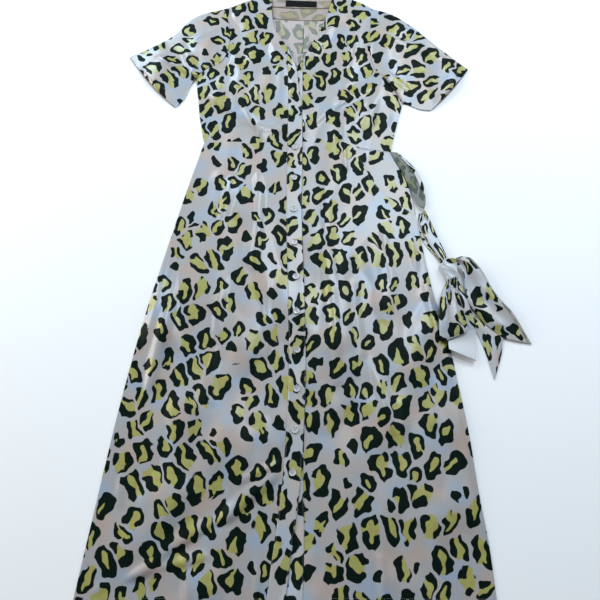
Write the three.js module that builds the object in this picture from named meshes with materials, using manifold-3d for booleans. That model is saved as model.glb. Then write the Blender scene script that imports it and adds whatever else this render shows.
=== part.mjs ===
// A short-sleeved, button-through midi dress of thin printed cloth, laid out flat on its back with its
// tie belt knotted in a bow beside the right hip. "Left" and "right" are as seen from above.
// Millimetres. +Z is up from the surface it lies on, and +Y runs from the hem to the neck. The pieces
// are drafted with the zero where the waist seam crosses the buttons; the last lines move the finished
// dress so that the zero is the middle of its base.

import * as THREE from 'three';
import { mergeVertices } from 'three/addons/utils/BufferGeometryUtils.js';
import Module from 'manifold-3d';

const wasm = await Module();
wasm.setup();

// Cloth and seams
const cloth = 1.2; // wall of each cut piece
const trim = 1.0; // wall of the label and of the pressed seam allowance
const gap = 0.3; // space between two pieces, side by side or one on the other
const layer = cloth + gap; // how much one flat layer raises the next

// Button bands and buttons
const bandWidth = 29.5;
const buttonCount = 10;
const buttonPitch = 69.2;
const firstButton = -12; // height of the top button, just below the waist seam
const buttonRadius = 6;
const buttonDepth = 2.6;
const holeRadius = 0.8;
const holeSpacing = 1.7; // from the middle of the button to each hole

// Back neck
const neckBandDepth = 23;
const facingDepth = 56;
const labelWidth = 68;
const labelHeight = 16;
const allowanceWidth = 10;

// Pocket
const pocketLap = 25; // how far the side piece goes on under the front
const pocketRamp = 45; // where the front has come down to its usual height again

// Knot of the belt
const knot = {
  x: 292.5,
  y: -270,
  heading: -76, // degrees from +X, along the belt
  length: 38,
  halfWidth: 15, // of its opening
  halfHeight: 7.4,
  wall: 2,
  bulge: 1.6,
};

// Lie of the cloth
const bandClimb = 36; // width over which the left front rises to its band
const pocketClearance = 12; // from the end of the side piece to where the front starts to come down
const sleevePuff = 3.2; // how much the middle of a cuff stands open

// Numbers of grid cells
const columnsToPleat = { bodice: 4, skirt: 6 }; // right front, from its band to the pleat
const columnsToPocket = { bodice: 2, skirt: 3 }; // from the pleat to the mouth of the pocket
const columnsToSide = 3; // from the mouth of the pocket to the side
const leftColumns = 9; // left front
const backColumns = 3; // each half of the back
const sideRows = 5;
const armholeRows = 8;
const skirtRows = 26;
const pocketRows = 6;
const overRows = 6; // rows of the left bodice beside its band; the rest follow the neck edge
const underRows = 5; // the same on the right
const sleeveRings = 6;

// ---------------------------------------------------------------------------------------------------
// The outline of the laid-out dress. Each line has only the points that its shape needs.
// ---------------------------------------------------------------------------------------------------

// The waist seam runs straight between its corners: the left side and its middle, the centre, a small
// pleat, the mouth of the pocket and the right side
const waist = {
  leftSide: { x: -182, y: -6 },
  leftMiddle: { x: -90, y: -2.5 },
  centre: { x: 0, y: 1 },
  pleat: { x: 90, y: 2 },
  pocket: { x: 122, y: -8 },
  rightSide: { x: 190, y: -15 },
};

// The hem, from left to right
const hemLine = [
  { x: -313, y: -845 },
  { x: 6, y: -836 },
  { x: 339, y: -826 },
];

// The side seams of the skirt, from the hem up
const skirtLeftSide = [
  { x: -313, y: -845 },
  { x: -300, y: -720 },
  { x: -281, y: -540 },
  { x: -258, y: -380 },
  { x: -232, y: -245 },
  { x: -206, y: -115 },
  { x: -188, y: -34 },
  { x: -182, y: -6 },
];
const skirtRightSideBelowPocket = [
  { x: 339, y: -826 },
  { x: 333, y: -740 },
  { x: 321, y: -655 },
  { x: 311, y: -560 },
  { x: 298, y: -480 },
  { x: 284, y: -398 },
  { x: 262, y: -315 },
  { x: 247, y: -232 },
  { x: 235, y: -156 },
];
const skirtRightSideAtPocket = [
  { x: 235, y: -156 },
  { x: 228, y: -108 },
  { x: 213, y: -64 },
  { x: 196, y: -34 },
  { x: 190, y: -15 },
];

// The mouth of the slanting pocket, from the side seam up to the waist seam
const pocketMouth = [
  { x: 235, y: -156 },
  { x: 197, y: -130 },
  { x: 152, y: -84 },
  { x: 122, y: -8 },
];

// The sewn edges of the two button bands, from the neck to the hem: `over` is where the buttonhole band
// joins the left front, and `under` is where the button band below it joins the right front. They part
// below the last button, where the skirt falls open.
const bandSeams = [
  { y: 232, over: -25, under: 7 },
  { y: 128, over: -20, under: 10 },
  { y: 0, over: -16, under: 14 },
  { y: -150, over: -13, under: 17 },
  { y: -220, over: -9, under: 21 },
  { y: -290, over: -4, under: 26 },
  { y: -361, over: 0, under: 30 },
  { y: -425, over: 3.5, under: 33 },
  { y: -494, over: 5, under: 35 },
  { y: -562, over: 4.5, under: 35 },
  { y: -635, over: 3, under: 35.5 },
  { y: -709, over: -3.5, under: 39.5 },
  { y: -768, over: -10, under: 41 },
  { y: -845, over: -18, under: 41 },
];

// The side seams of the bodice, from the waist up to the armholes
const bodiceLeftSide = [
  { x: -182, y: -6 },
  { x: -195, y: 46 },
  { x: -203, y: 97 },
  { x: -213, y: 150 },
];
const bodiceRightSide = [
  { x: 190, y: -15 },
  { x: 198, y: 26 },
  { x: 207, y: 64 },
  { x: 216, y: 100 },
];

// The armholes, from the side seam up to the shoulder
const armholeLeft = [
  { x: -213, y: 150 },
  { x: -200, y: 167 },
  { x: -173, y: 180 },
  { x: -157, y: 203 },
  { x: -149, y: 250 },
  { x: -155, y: 300 },
  { x: -169, y: 337 },
];
const armholeRight = [
  { x: 216, y: 100 },
  { x: 203, y: 132 },
  { x: 178, y: 161 },
  { x: 157, y: 184 },
  { x: 151, y: 220 },
  { x: 151, y: 290 },
  { x: 154, y: 350 },
];

// The shoulders, from the armhole to the neck
const shoulderLeft = [
  { x: -169, y: 337 },
  { x: -145, y: 345 },
  { x: -112, y: 364 },
  { x: -70, y: 388 },
];
const shoulderRight = [
  { x: 72, y: 390 },
  { x: 128, y: 366 },
  { x: 154, y: 350 },
];

// The neck edges of the fronts, from the button bands up to the shoulders
const neckLeft = [
  { x: -25, y: 232 },
  { x: -40, y: 258 },
  { x: -57, y: 287 },
  { x: -62, y: 320 },
  { x: -65, y: 362 },
  { x: -70, y: 388 },
];
const neckRight = [
  { x: 7, y: 205 },
  { x: 20, y: 233 },
  { x: 35, y: 263 },
  { x: 49, y: 296 },
  { x: 60, y: 337 },
  { x: 72, y: 390 },
];
const neckPoint = { x: -3, y: 180 }; // where the fronts cross, at the bottom of the V

// The back neck edge, from left to right
const backNeck = [
  { x: -70, y: 388 },
  { x: -45, y: 373 },
  { x: 0, y: 367 },
  { x: 45, y: 374 },
  { x: 72, y: 390 },
];
const centreBack = [
  { x: 2, y: 0.8 },
  { x: 8, y: 200 },
  { x: 9, y: 366.8 },
];

// The sleeves: the shoulder fold and the underarm seam, both from the armhole to the cuff, and the cuff
// edge from the underarm to the fold
const sleeveLeft = {
  fold: [
    { x: -169, y: 337 },
    { x: -205, y: 328 },
    { x: -241, y: 308 },
    { x: -262, y: 268 },
    { x: -308, y: 231 },
    { x: -359, y: 201 },
  ],
  underarm: [
    { x: -213, y: 150 },
    { x: -225, y: 124 },
    { x: -231, y: 98 },
    { x: -247, y: 75 },
  ],
  cuff: [
    { x: -247, y: 75 },
    { x: -273, y: 97 },
    { x: -313, y: 140 },
    { x: -359, y: 201 },
  ],
};
const sleeveRight = {
  fold: [
    { x: 154, y: 350 },
    { x: 200, y: 337 },
    { x: 240, y: 302 },
    { x: 300, y: 242 },
    { x: 356, y: 192 },
  ],
  underarm: [
    { x: 216, y: 100 },
    { x: 232, y: 95 },
    { x: 252, y: 86 },
    { x: 272, y: 85 },
  ],
  cuff: [
    { x: 272, y: 85 },
    { x: 292, y: 105 },
    { x: 328, y: 150 },
    { x: 356, y: 192 },
  ],
};

// The largest folds of the front: soft ridges from one point to another, with their height and the
// distance to each side over which they die away
const folds = [
  { x: -66, y: 366, toX: -40, toY: 256, rise: 4.5, spread: 42 }, // rolled left neck edge
  { x: 70, y: 372, toX: 27, toY: 246, rise: 3.6, spread: 36 }, // right neck edge
  { x: -104, y: 320, toX: -84, toY: 170, rise: 2.6, spread: 36 },
  { x: 104, y: 330, toX: 96, toY: 190, rise: 2.2, spread: 34 },
  { x: -72, y: 36, toX: -134, toY: 116, rise: 6, spread: 44 }, // left bust
  { x: 60, y: 50, toX: 146, toY: 98, rise: 7.5, spread: 44 }, // right bust
  { x: -120, y: 12, toX: -128, toY: -70, rise: 3.4, spread: 34 },
  { x: 70, y: 20, toX: 76, toY: -60, rise: 3, spread: 34 },
  { x: -128, y: -120, toX: -150, toY: -330, rise: 4.2, spread: 48 },
  { x: -68, y: -170, toX: -76, toY: -420, rise: 3.4, spread: 40 },
  { x: 92, y: -150, toX: 104, toY: -420, rise: 4.4, spread: 44 },
  { x: 176, y: -240, toX: 186, toY: -470, rise: 4, spread: 46 },
  { x: -66, y: -560, toX: -232, toY: -760, rise: 6.5, spread: 46 }, // drag fold to the left hem
  { x: -150, y: -500, toX: -196, toY: -600, rise: 4, spread: 44 },
  { x: -108, y: -880, toX: -100, toY: -740, rise: 6, spread: 42 },
  { x: 118, y: -880, toX: 108, toY: -600, rise: 6.5, spread: 46 },
  { x: 196, y: -880, toX: 190, toY: -640, rise: 5, spread: 40 },
  { x: 240, y: -560, toX: 250, toY: -700, rise: 3.6, spread: 40 },
];

// The belt. Each row is one cross-section: its two edges, seen in plan, and how high each lies. The
// heights are of the middle of the cloth.
const strandUpper = [
  { ax: 197, ay: -25, az: 1.4, bx: 213, by: -29, bz: 2.2 },
  { ax: 216, ay: -64, az: 1.6, bx: 240, by: -60, bz: 4.4 },
  { ax: 230.5, ay: -104, az: 2.2, bx: 252, by: -98, bz: 5 },
  { ax: 240, ay: -134, az: 5.5, bx: 252, by: -130, bz: 7.5 },
  { ax: 250, ay: -148, az: 10.5, bx: 249, by: -148, bz: 2.6 }, // the turn, where it crosses over
  { ax: 262, ay: -168, az: 3.6, bx: 242, by: -172, bz: 2.6 },
  { ax: 274, ay: -201, az: 4.2, bx: 254, by: -208, bz: 2.8 },
  { ax: 286, ay: -232, az: 6.2, bx: 270, by: -236, bz: 5 },
  { ax: 297, ay: -256, az: 8.6, bx: 280, by: -260, bz: 8.4 },
];
const strandLower = [
  { ax: 257, ay: -146, az: 0.6, bx: 241, by: -150, bz: 0.6 },
  { ax: 258, ay: -172, az: 0.6, bx: 240, by: -180, bz: 0.6 },
  { ax: 268, ay: -204, az: 0.6, bx: 250, by: -212, bz: 0.6 },
  { ax: 283, ay: -234, az: 3, bx: 270, by: -238, bz: 3 },
  { ax: 296, ay: -258, az: 5.2, bx: 282, by: -261, bz: 5.2 },
];
const tailUpper = [
  { ax: 313.5, ay: -247, az: 11, bx: 311.5, by: -262, bz: 10.4 },
  { ax: 331, ay: -244, az: 8.5, bx: 319, by: -264, bz: 7.5 },
  { ax: 352, ay: -272, az: 6.5, bx: 319, by: -290, bz: 5.5 },
  { ax: 367, ay: -304, az: 5, bx: 325, by: -321, bz: 3.2 },
  { ax: 385, ay: -330, az: 4, bx: 339, by: -348, bz: 2.4 },
  { ax: 404, ay: -353, az: 3, bx: 356, by: -372, bz: 2.4 },
  { ax: 431, ay: -403, az: 0.7, bx: 381, by: -394, bz: 2.4 },
];
const tailLower = [
  { ax: 304, ay: -283, az: 4.6, bx: 291, by: -287, bz: 4.6 },
  { ax: 327, ay: -319, az: 0.6, bx: 300, by: -331, bz: 0.6 },
  { ax: 349, ay: -346, az: 0.6, bx: 316, by: -356, bz: 0.6 },
  { ax: 370, ay: -369, az: 0.6, bx: 336, by: -382, bz: 0.6 },
  { ax: 383, ay: -391, az: 0.6, bx: 349, by: -418, bz: 0.6 },
  { ax: 387, ay: -402, az: 0.6, bx: 361, by: -472, bz: 0.6 },
];

// The two loops of the bow, from the knot to where the cloth turns back over itself: `low` and `high`
// are the heights of its two layers
const loopUpper = [
  { ax: 305, ay: -284, bx: 289, by: -288, low: 10, high: 12.4 },
  { ax: 315, ay: -318, bx: 273, by: -317, low: 11.6, high: 18 },
  { ax: 322, ay: -350, bx: 267, by: -361, low: 12, high: 18.4 },
  { ax: 321, ay: -388, bx: 270, by: -408, low: 12.4, high: 16.8 },
];
const loopLower = [
  { ax: 305, ay: -284, bx: 290, by: -288, low: 6.4, high: 8.2 },
  { ax: 320, ay: -318, bx: 283, by: -322, low: 5, high: 8.6 },
  { ax: 334, ay: -366, bx: 281, by: -372, low: 4.6, high: 8.8 },
  { ax: 329, ay: -437, bx: 285, by: -419, low: 4.6, high: 8.2 },
];

// ---------------------------------------------------------------------------------------------------
// Helpers
// ---------------------------------------------------------------------------------------------------

// Evenly spaced points on the smooth curve through the rows of a table
function along(rows, steps) {
  const curve = new THREE.SplineCurve(rows.map((row) => new THREE.Vector2(row.x, row.y)));
  return curve.getSpacedPoints(steps);
}

// Two lines end to end as one
function chain(first, second) {
  return [...first, ...second.slice(1)];
}

// A line moved sideways by `distance`, to the left of its own direction
function beside(points, distance) {
  return points.map((point, i) => {
    const before = points[Math.max(i - 1, 0)];
    const after = points[Math.min(i + 1, points.length - 1)];
    const run = after.clone().sub(before).normalize();
    return new THREE.Vector2(point.x - run.y * distance, point.y + run.x * distance);
  });
}

// The part of a line between two shares of its length, in `steps` equal steps
function stretch(rows, from, to, steps) {
  const curve = new THREE.SplineCurve(rows.map((row) => new THREE.Vector2(row.x, row.y)));
  const points = [];
  for (let i = 0; i <= steps; i++) points.push(curve.getPointAt(from + ((to - from) * i) / steps));
  return points;
}

// The point of the waist seam at `x`
function waistAt(x) {
  const corners = Object.values(waist);
  const next = Math.max(corners.findIndex((corner) => corner.x > x), 1);
  const [from, to] = [corners[next - 1], corners[next]];
  return new THREE.Vector2(x, from.y + ((to.y - from.y) * (x - from.x)) / (to.x - from.x));
}

// The share of a line's length at which it reaches `x`; the line runs from left to right
function shareAtX(rows, x) {
  const curve = new THREE.SplineCurve(rows.map((row) => new THREE.Vector2(row.x, row.y)));
  let low = 0;
  let high = 1;
  for (let i = 0; i < 30; i++) {
    const middle = (low + high) / 2;
    if (curve.getPointAt(middle).x < x) low = middle;
    else high = middle;
  }
  return low;
}

// A straight line in `steps` equal steps
function straight(from, to, steps) {
  const points = [];
  for (let i = 0; i <= steps; i++) points.push(from.clone().lerp(to, i / steps));
  return points;
}

const smooth = (value) => THREE.MathUtils.smoothstep(value, 0, 1);

// How far the point (x, y) is from the straight line between two others
function distanceToLine(x, y, from, to) {
  const run = new THREE.Vector2(to.x - from.x, to.y - from.y);
  const offset = new THREE.Vector2(x - from.x, y - from.y);
  const share = THREE.MathUtils.clamp(offset.dot(run) / run.lengthSq(), 0, 1);
  return offset.addScaledVector(run, -share).length();
}

// The height that the folds add at (x, y)
function foldHeight(x, y) {
  let height = 0;
  for (const fold of folds) {
    const distance = distanceToLine(x, y, fold, { x: fold.toX, y: fold.toY });
    if (distance < fold.spread) height += fold.rise * (1 - (distance / fold.spread) ** 2) ** 2;
  }
  return height;
}

// The x of a button band's sewn edge at height y
function seamAt(y, column) {
  const upper = bandSeams.findLast((row) => row.y >= y) ?? bandSeams[0];
  const lower = bandSeams.find((row) => row.y < y) ?? bandSeams[bandSeams.length - 1];
  const share = upper === lower ? 0 : (upper.y - y) / (upper.y - lower.y);
  return THREE.MathUtils.lerp(upper[column], lower[column], THREE.MathUtils.clamp(share, 0, 1));
}

// Vertices that lie on each other become one, and the faces are turned to point out
function closed(geometry) {
  geometry.deleteAttribute('normal');
  geometry.deleteAttribute('uv');
  const merged = mergeVertices(geometry, 1e-4);
  const position = merged.attributes.position;
  const index = merged.index.array;
  const [a, b, c] = [new THREE.Vector3(), new THREE.Vector3(), new THREE.Vector3()];
  let volume = 0;
  for (let i = 0; i < index.length; i += 3) {
    a.fromBufferAttribute(position, index[i]);
    b.fromBufferAttribute(position, index[i + 1]);
    c.fromBufferAttribute(position, index[i + 2]);
    volume += a.dot(b.cross(c));
  }
  if (volume < 0) {
    for (let i = 0; i < index.length; i += 3) [index[i], index[i + 1]] = [index[i + 1], index[i]];
  }
  merged.computeVertexNormals();
  return merged;
}

// A sheet: a box of `columns` by `rows` cells whose vertices are moved to place(column, row, top)
function sheet(columns, rows, place) {
  const geometry = new THREE.BoxGeometry(1, 1, 1, columns, rows, 1);
  const position = geometry.attributes.position;
  for (let i = 0; i < position.count; i++) {
    const column = Math.round((position.getX(i) + 0.5) * columns);
    const row = Math.round((position.getY(i) + 0.5) * rows);
    position.setXYZ(i, ...place(column, row, position.getZ(i) > 0));
  }
  return closed(geometry);
}

// A ring of wall, open at both ends: a turned ring whose vertices are moved to place(ring, step, inner)
function tube(rings, steps, place) {
  const profile = [];
  for (let ring = 0; ring <= rings; ring++) profile.push(new THREE.Vector2(2, ring));
  for (let ring = rings; ring >= 0; ring--) profile.push(new THREE.Vector2(1, ring));
  profile.push(profile[0].clone());
  const geometry = new THREE.LatheGeometry(profile, steps);
  const position = geometry.attributes.position;
  for (let i = 0; i < position.count; i++) {
    const row = (i % profile.length) % (2 * rings + 2);
    const step = Math.floor(i / profile.length) % steps;
    const inner = row > rings;
    position.setXYZ(i, ...place(inner ? 2 * rings + 1 - row : row, step, inner));
  }
  return closed(geometry);
}

// The grid of points that fills the space between four edges: bottom and top run from left to right,
// left and right run upwards
function fill({ bottom, top, left, right }) {
  const columns = bottom.length - 1;
  const rows = left.length - 1;
  const point = (column, row) => {
    const s = column / columns;
    const t = row / rows;
    return new THREE.Vector2()
      .addScaledVector(bottom[column], 1 - t)
      .addScaledVector(top[column], t)
      .addScaledVector(left[row], 1 - s)
      .addScaledVector(right[row], s)
      .addScaledVector(bottom[0], -(1 - s) * (1 - t))
      .addScaledVector(bottom[columns], -s * (1 - t))
      .addScaledVector(top[0], -(1 - s) * t)
      .addScaledVector(top[columns], -s * t);
  };
  return { columns, rows, point };
}

// A cut piece between four edges, with its underside at height underside(x, y)
function panel(edges, underside, wall = cloth) {
  const { columns, rows, point } = fill(edges);
  return sheet(columns, rows, (column, row, top) => {
    const { x, y } = point(column, row);
    return [x, y, underside(x, y) + (top ? wall : 0)];
  });
}

// A stretch of belt through the sections of a table. `steps` cells along, `across` cells over its width,
// and soft pleats of the given number and depth, deepest in the middle of its length.
function ribbon(rows, { across, steps, pleats = 0, depth = 0 }) {
  const edge = (side) => {
    const [x, y, z] = ['x', 'y', 'z'].map((axis) => side + axis);
    return new THREE.CatmullRomCurve3(rows.map((row) => new THREE.Vector3(row[x], row[y], row[z])));
  };
  const edgeA = edge('a');
  const edgeB = edge('b');
  const middle = (s, t) => {
    const point = edgeA.getPoint(t).lerp(edgeB.getPoint(t), s);
    point.z += depth * Math.sin(Math.PI * t) ** 2 * Math.cos(2 * Math.PI * pleats * s);
    return point;
  };
  const nudge = 0.01; // for the slope of the cloth
  return sheet(across, steps, (column, row, top) => {
    const s = column / across;
    const t = row / steps;
    const over = middle(Math.min(s + nudge, 1), t).sub(middle(Math.max(s - nudge, 0), t));
    const on = middle(s, Math.min(t + nudge, 1)).sub(middle(s, Math.max(t - nudge, 0)));
    const out = over.cross(on).normalize();
    const { x, y, z } = middle(s, t).addScaledVector(out, top ? cloth / 2 : -cloth / 2);
    return [x, y, Math.max(z, top ? cloth : 0)];
  });
}

// The sections of a loop: out along its lower layer, round the turn and back along its upper layer
function loopSections(rows) {
  const turn = rows[rows.length - 1];
  const radius = (turn.high - turn.low) / 2;
  const across = new THREE.Vector2(turn.bx - turn.ax, turn.by - turn.ay).normalize();
  const away = new THREE.Vector2(-across.y, across.x); // from the knot
  const flat = (row, z) => ({ ax: row.ax, ay: row.ay, az: z, bx: row.bx, by: row.by, bz: z });
  const sections = rows.map((row) => flat(row, row.low));
  for (const angle of [-45, 0, 45]) {
    const reach = radius * Math.cos(THREE.MathUtils.degToRad(angle));
    const z = turn.low + radius + radius * Math.sin(THREE.MathUtils.degToRad(angle));
    const moved = {
      ax: turn.ax + away.x * reach,
      ay: turn.ay + away.y * reach,
      bx: turn.bx + away.x * reach,
      by: turn.by + away.y * reach,
    };
    sections.push(flat(moved, z));
  }
  for (const row of [...rows].reverse()) sections.push(flat(row, row.high));
  return sections;
}

// ---------------------------------------------------------------------------------------------------
// Shared lines
// ---------------------------------------------------------------------------------------------------

const corner = Object.fromEntries(
  Object.entries(waist).map(([name, { x, y }]) => [name, new THREE.Vector2(x, y)]),
);

// The seam of a button band from the hem to the waist, and from the waist to its top
function bandSeam(column, top, upperRows) {
  const rising = (from, to, steps) => {
    const points = [];
    for (let i = 0; i <= steps; i++) {
      const y = from + ((to - from) * i) / steps;
      points.push(new THREE.Vector2(seamAt(y, column), y));
    }
    return points;
  };
  const crossing = waistAt(seamAt(waist.centre.y, column));
  const skirt = rising(hemY, crossing.y, skirtRows);
  skirt[skirtRows] = crossing;
  const bodice = rising(crossing.y, top, upperRows);
  bodice[0] = crossing;
  return { skirt, bodice, whole: chain(skirt, bodice) };
}
const hemY = -835.5; // height of the hem between the fronts
const sideLeft = along(bodiceLeftSide, sideRows);
const sideRight = along(bodiceRightSide, sideRows);
const holeLeft = along(armholeLeft, armholeRows);
const holeRight = along(armholeRight, armholeRows);
const bodiceRows = sideRows + armholeRows;
const mouth = along(pocketMouth, pocketRows);
const pocketSide = along(skirtRightSideAtPocket, pocketRows);
const sideBelowPocket = along(skirtRightSideBelowPocket, skirtRows - pocketRows);
const overSeam = bandSeam('over', neckLeft[0].y, overRows);
const underSeam = bandSeam('under', neckRight[0].y, underRows);

// ---------------------------------------------------------------------------------------------------
// Heights of the pieces' undersides
// ---------------------------------------------------------------------------------------------------

const onSurface = () => 0;
const onBack = () => layer;
const frontHeight = (x, y) => layer + foldHeight(x, y);
const lapHeight = (x, y) => 2 * layer + foldHeight(x, y);

// The left front climbs to its buttonhole band, which lies on the button band
function leftFrontHeight(x, y) {
  return frontHeight(x, y) + layer * smooth(1 + (x - seamAt(y, 'over')) / bandClimb);
}

// The right front climbs over the pocket's side piece
function rightFrontHeight(x, y) {
  let nearest = Infinity;
  for (let i = 0; i < mouth.length - 1; i++) {
    nearest = Math.min(nearest, distanceToLine(x, y, mouth[i], mouth[i + 1]));
  }
  return frontHeight(x, y) + layer * (1 - smooth((nearest - pocketLap - pocketClearance) / pocketRamp));
}

// ---------------------------------------------------------------------------------------------------
// The pieces
// ---------------------------------------------------------------------------------------------------

function backBodiceLeft() {
  const seamLine = along(centreBack, bodiceRows);
  const neckEnd = shareAtX(backNeck, seamLine[bodiceRows].x);
  const top = chain(along(shoulderLeft, 1), stretch(backNeck, 0, neckEnd, backColumns - 1));
  const bottom = [corner.leftSide, corner.leftMiddle, corner.centre, waistAt(centreBack[0].x)];
  seamLine[0] = bottom[backColumns];
  seamLine[bodiceRows] = top[backColumns];
  return panel({ bottom, top, left: chain(sideLeft, holeLeft), right: seamLine }, onSurface);
}

function backBodiceRight() {
  const seamLine = beside(along(centreBack, bodiceRows), -gap);
  const neckStart = shareAtX(backNeck, seamLine[bodiceRows].x);
  const top = chain(stretch(backNeck, neckStart, 1, backColumns - 1), along(shoulderRight, 1));
  const bottom = [waistAt(seamLine[0].x), corner.pleat, corner.pocket, corner.rightSide];
  seamLine[0] = bottom[0];
  seamLine[bodiceRows] = top[0];
  return panel({ bottom, top, left: seamLine, right: chain(sideRight, holeRight) }, onSurface);
}

function backSkirt() {
  const top = beside(Object.values(corner), -gap);
  const columns = top.length - 1;
  const left = along(skirtLeftSide, skirtRows);
  const right = chain(sideBelowPocket, pocketSide);
  left[skirtRows] = top[0];
  right[skirtRows] = top[columns];
  return panel({ bottom: along(hemLine, columns), top, left, right }, onSurface);
}

function frontBodiceLeft() {
  const right = chain(overSeam.bodice, along(neckLeft, bodiceRows - overRows));
  const bottom = straight(corner.leftSide, right[0], leftColumns);
  const top = along(shoulderLeft, leftColumns);
  return panel({ bottom, top, left: chain(sideLeft, holeLeft), right }, leftFrontHeight);
}

function frontBodiceRight() {
  const left = chain(beside(underSeam.bodice, -gap), along(neckRight, bodiceRows - underRows));
  const toPocket = chain(
    straight(waistAt(left[0].x), corner.pleat, columnsToPleat.bodice),
    straight(corner.pleat, corner.pocket, columnsToPocket.bodice),
  );
  const bottom = chain(toPocket, straight(corner.pocket, corner.rightSide, columnsToSide));
  left[0] = bottom[0];
  const top = along(shoulderRight, bottom.length - 1);
  return panel({ bottom, top, left, right: chain(sideRight, holeRight) }, frontHeight);
}

function frontSkirtLeft() {
  const right = [...overSeam.skirt];
  const top = beside(straight(corner.leftSide, right[skirtRows], leftColumns), -gap);
  const left = along(skirtLeftSide, skirtRows);
  left[skirtRows] = top[0];
  right[skirtRows] = top[leftColumns];
  const bottom = stretch(hemLine, 0, shareAtX(hemLine, right[0].x), leftColumns);
  right[0] = bottom[leftColumns];
  return panel({ bottom, top, left, right }, leftFrontHeight);
}

function frontSkirtRight() {
  const left = beside(underSeam.skirt, -gap);
  const seamLine = chain(
    straight(waistAt(left[skirtRows].x), corner.pleat, columnsToPleat.skirt),
    straight(corner.pleat, corner.pocket, columnsToPocket.skirt),
  );
  const top = beside(seamLine, -gap);
  const columns = top.length - 1;
  const right = chain(sideBelowPocket, mouth);
  left[skirtRows] = top[0];
  right[skirtRows] = top[columns];
  const bottom = stretch(hemLine, shareAtX(hemLine, left[0].x), 1, columns);
  left[0] = bottom[0];
  return panel({ bottom, top, left, right }, rightFrontHeight);
}

function pocketSidePiece() {
  const left = beside(mouth, pocketLap);
  const start = waistAt(left[pocketRows].x);
  const seamLine = chain([start, corner.pocket], straight(corner.pocket, corner.rightSide, columnsToSide));
  const top = beside(seamLine, -gap);
  const columns = top.length - 1;
  left[pocketRows] = top[0];
  const right = [...pocketSide];
  right[pocketRows] = top[columns];
  const bottom = straight(left[0], right[0], columns);
  return panel({ bottom, top, left, right }, onBack);
}

// The band with the buttonholes, which laps over the other; its top end follows the neck edge
function buttonholeBand() {
  const columns = 2;
  const left = beside(overSeam.whole, -gap);
  const rows = left.length - 1;
  const reach = neckLeft[0].y - neckPoint.y;
  const right = left.map(({ x, y }) => {
    const nearTop = smooth((y - firstButton) / (neckLeft[0].y - firstButton));
    const pull = (neckPoint.x - (left[rows].x + bandWidth)) * nearTop ** 3;
    return new THREE.Vector2(x + bandWidth + pull, y - reach * nearTop);
  });
  const bottom = straight(left[0], right[0], columns);
  const top = straight(left[rows], right[rows], columns);
  return panel({ bottom, top, left, right }, lapHeight);
}

// The band with the buttons, below it; its top end follows the right neck edge
function buttonBand() {
  const columns = 2;
  const right = underSeam.whole;
  const rows = right.length - 1;
  const slope = 44; // how much lower the free corner of its top is than the sewn one
  const left = right.map(({ x, y }) => {
    const nearTop = smooth((y - firstButton) / (neckRight[0].y - firstButton));
    return new THREE.Vector2(x - bandWidth, y - slope * nearTop);
  });
  const bottom = straight(left[0], right[0], columns);
  const top = straight(left[rows], right[rows], columns);
  return panel({ bottom, top, left, right }, frontHeight);
}

// A sleeve is a flattened tube: a back layer on the surface, a front layer on it, and an open cuff
function sleeve(hole, outline, side) {
  const across = armholeRows;
  const edges = {
    bottom: beside(hole, gap * side),
    top: along(outline.cuff, across),
    left: along(outline.underarm, sleeveRings),
    right: along(outline.fold, sleeveRings),
  };
  edges.left[0] = edges.bottom[0];
  edges.right[0] = edges.bottom[across];
  const { point } = fill(edges);
  const around = 2 * across + 2;
  return tube(sleeveRings, around, (ring, step, inner) => {
    const upper = step > across;
    const column = upper ? around - 1 - step : step;
    const spot = point(column, ring);
    const edge = column === 0 || column === across;
    if (inner && edge) {
      const next = point(column === 0 ? 1 : across - 1, ring);
      spot.addScaledVector(next.sub(spot).normalize(), cloth);
    }
    const share = column / across;
    const lift = sleevePuff * Math.sin(Math.PI * share) * smooth(ring / sleeveRings);
    const top = edge ? layer + cloth : layer + cloth + lift;
    const z = upper ? top - (inner ? cloth : 0) : inner ? cloth : 0;
    return [spot.x, spot.y, z];
  });
}

// The facing and band inside the back neck start at the neck edge, and grow flatter and a little
// narrower towards their lower edge
function neckStrip(depth, height) {
  const columns = 8;
  const margin = 0.03; // share of the neck edge left free at each end
  const flattening = 0.15;
  const narrow = 1 - (0.09 * depth) / facingDepth;
  const top = stretch(backNeck, margin, 1 - margin, columns);
  const bottom = top.map(({ x, y }) => {
    return new THREE.Vector2(x * narrow, backNeck[2].y - depth + (y - backNeck[2].y) * flattening);
  });
  const rows = 2;
  const left = straight(bottom[0], top[0], rows);
  const right = straight(bottom[columns], top[columns], rows);
  return panel({ bottom, top, left, right }, () => height);
}

function label() {
  const middle = backNeck[2].y - neckBandDepth / 2;
  const low = new THREE.Vector2(-labelWidth / 2, middle - labelHeight / 2);
  const high = new THREE.Vector2(labelWidth / 2, middle + labelHeight / 2);
  const bottom = straight(low, new THREE.Vector2(high.x, low.y), 1);
  const top = straight(new THREE.Vector2(low.x, high.y), high, 1);
  const left = [bottom[0], top[0]];
  const right = [bottom[1], top[1]];
  return panel({ bottom, top, left, right }, () => 3 * layer, trim);
}

// The allowance of the centre-back seam, pressed to the right below the facing
function centreBackAllowance() {
  const rows = 3;
  const underFront = 9; // how far it goes on below the right neck edge
  const low = new THREE.Vector2(centreBack[1].x, neckRight[1].y - underFront);
  const high = new THREE.Vector2(centreBack[2].x, backNeck[2].y - facingDepth - gap);
  const left = straight(low, high, rows);
  const right = left.map((point) => new THREE.Vector2(point.x + allowanceWidth, point.y));
  const bottom = [left[0], right[0]];
  const top = [left[rows], right[rows]];
  return panel({ bottom, top, left, right }, onBack, trim);
}

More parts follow.
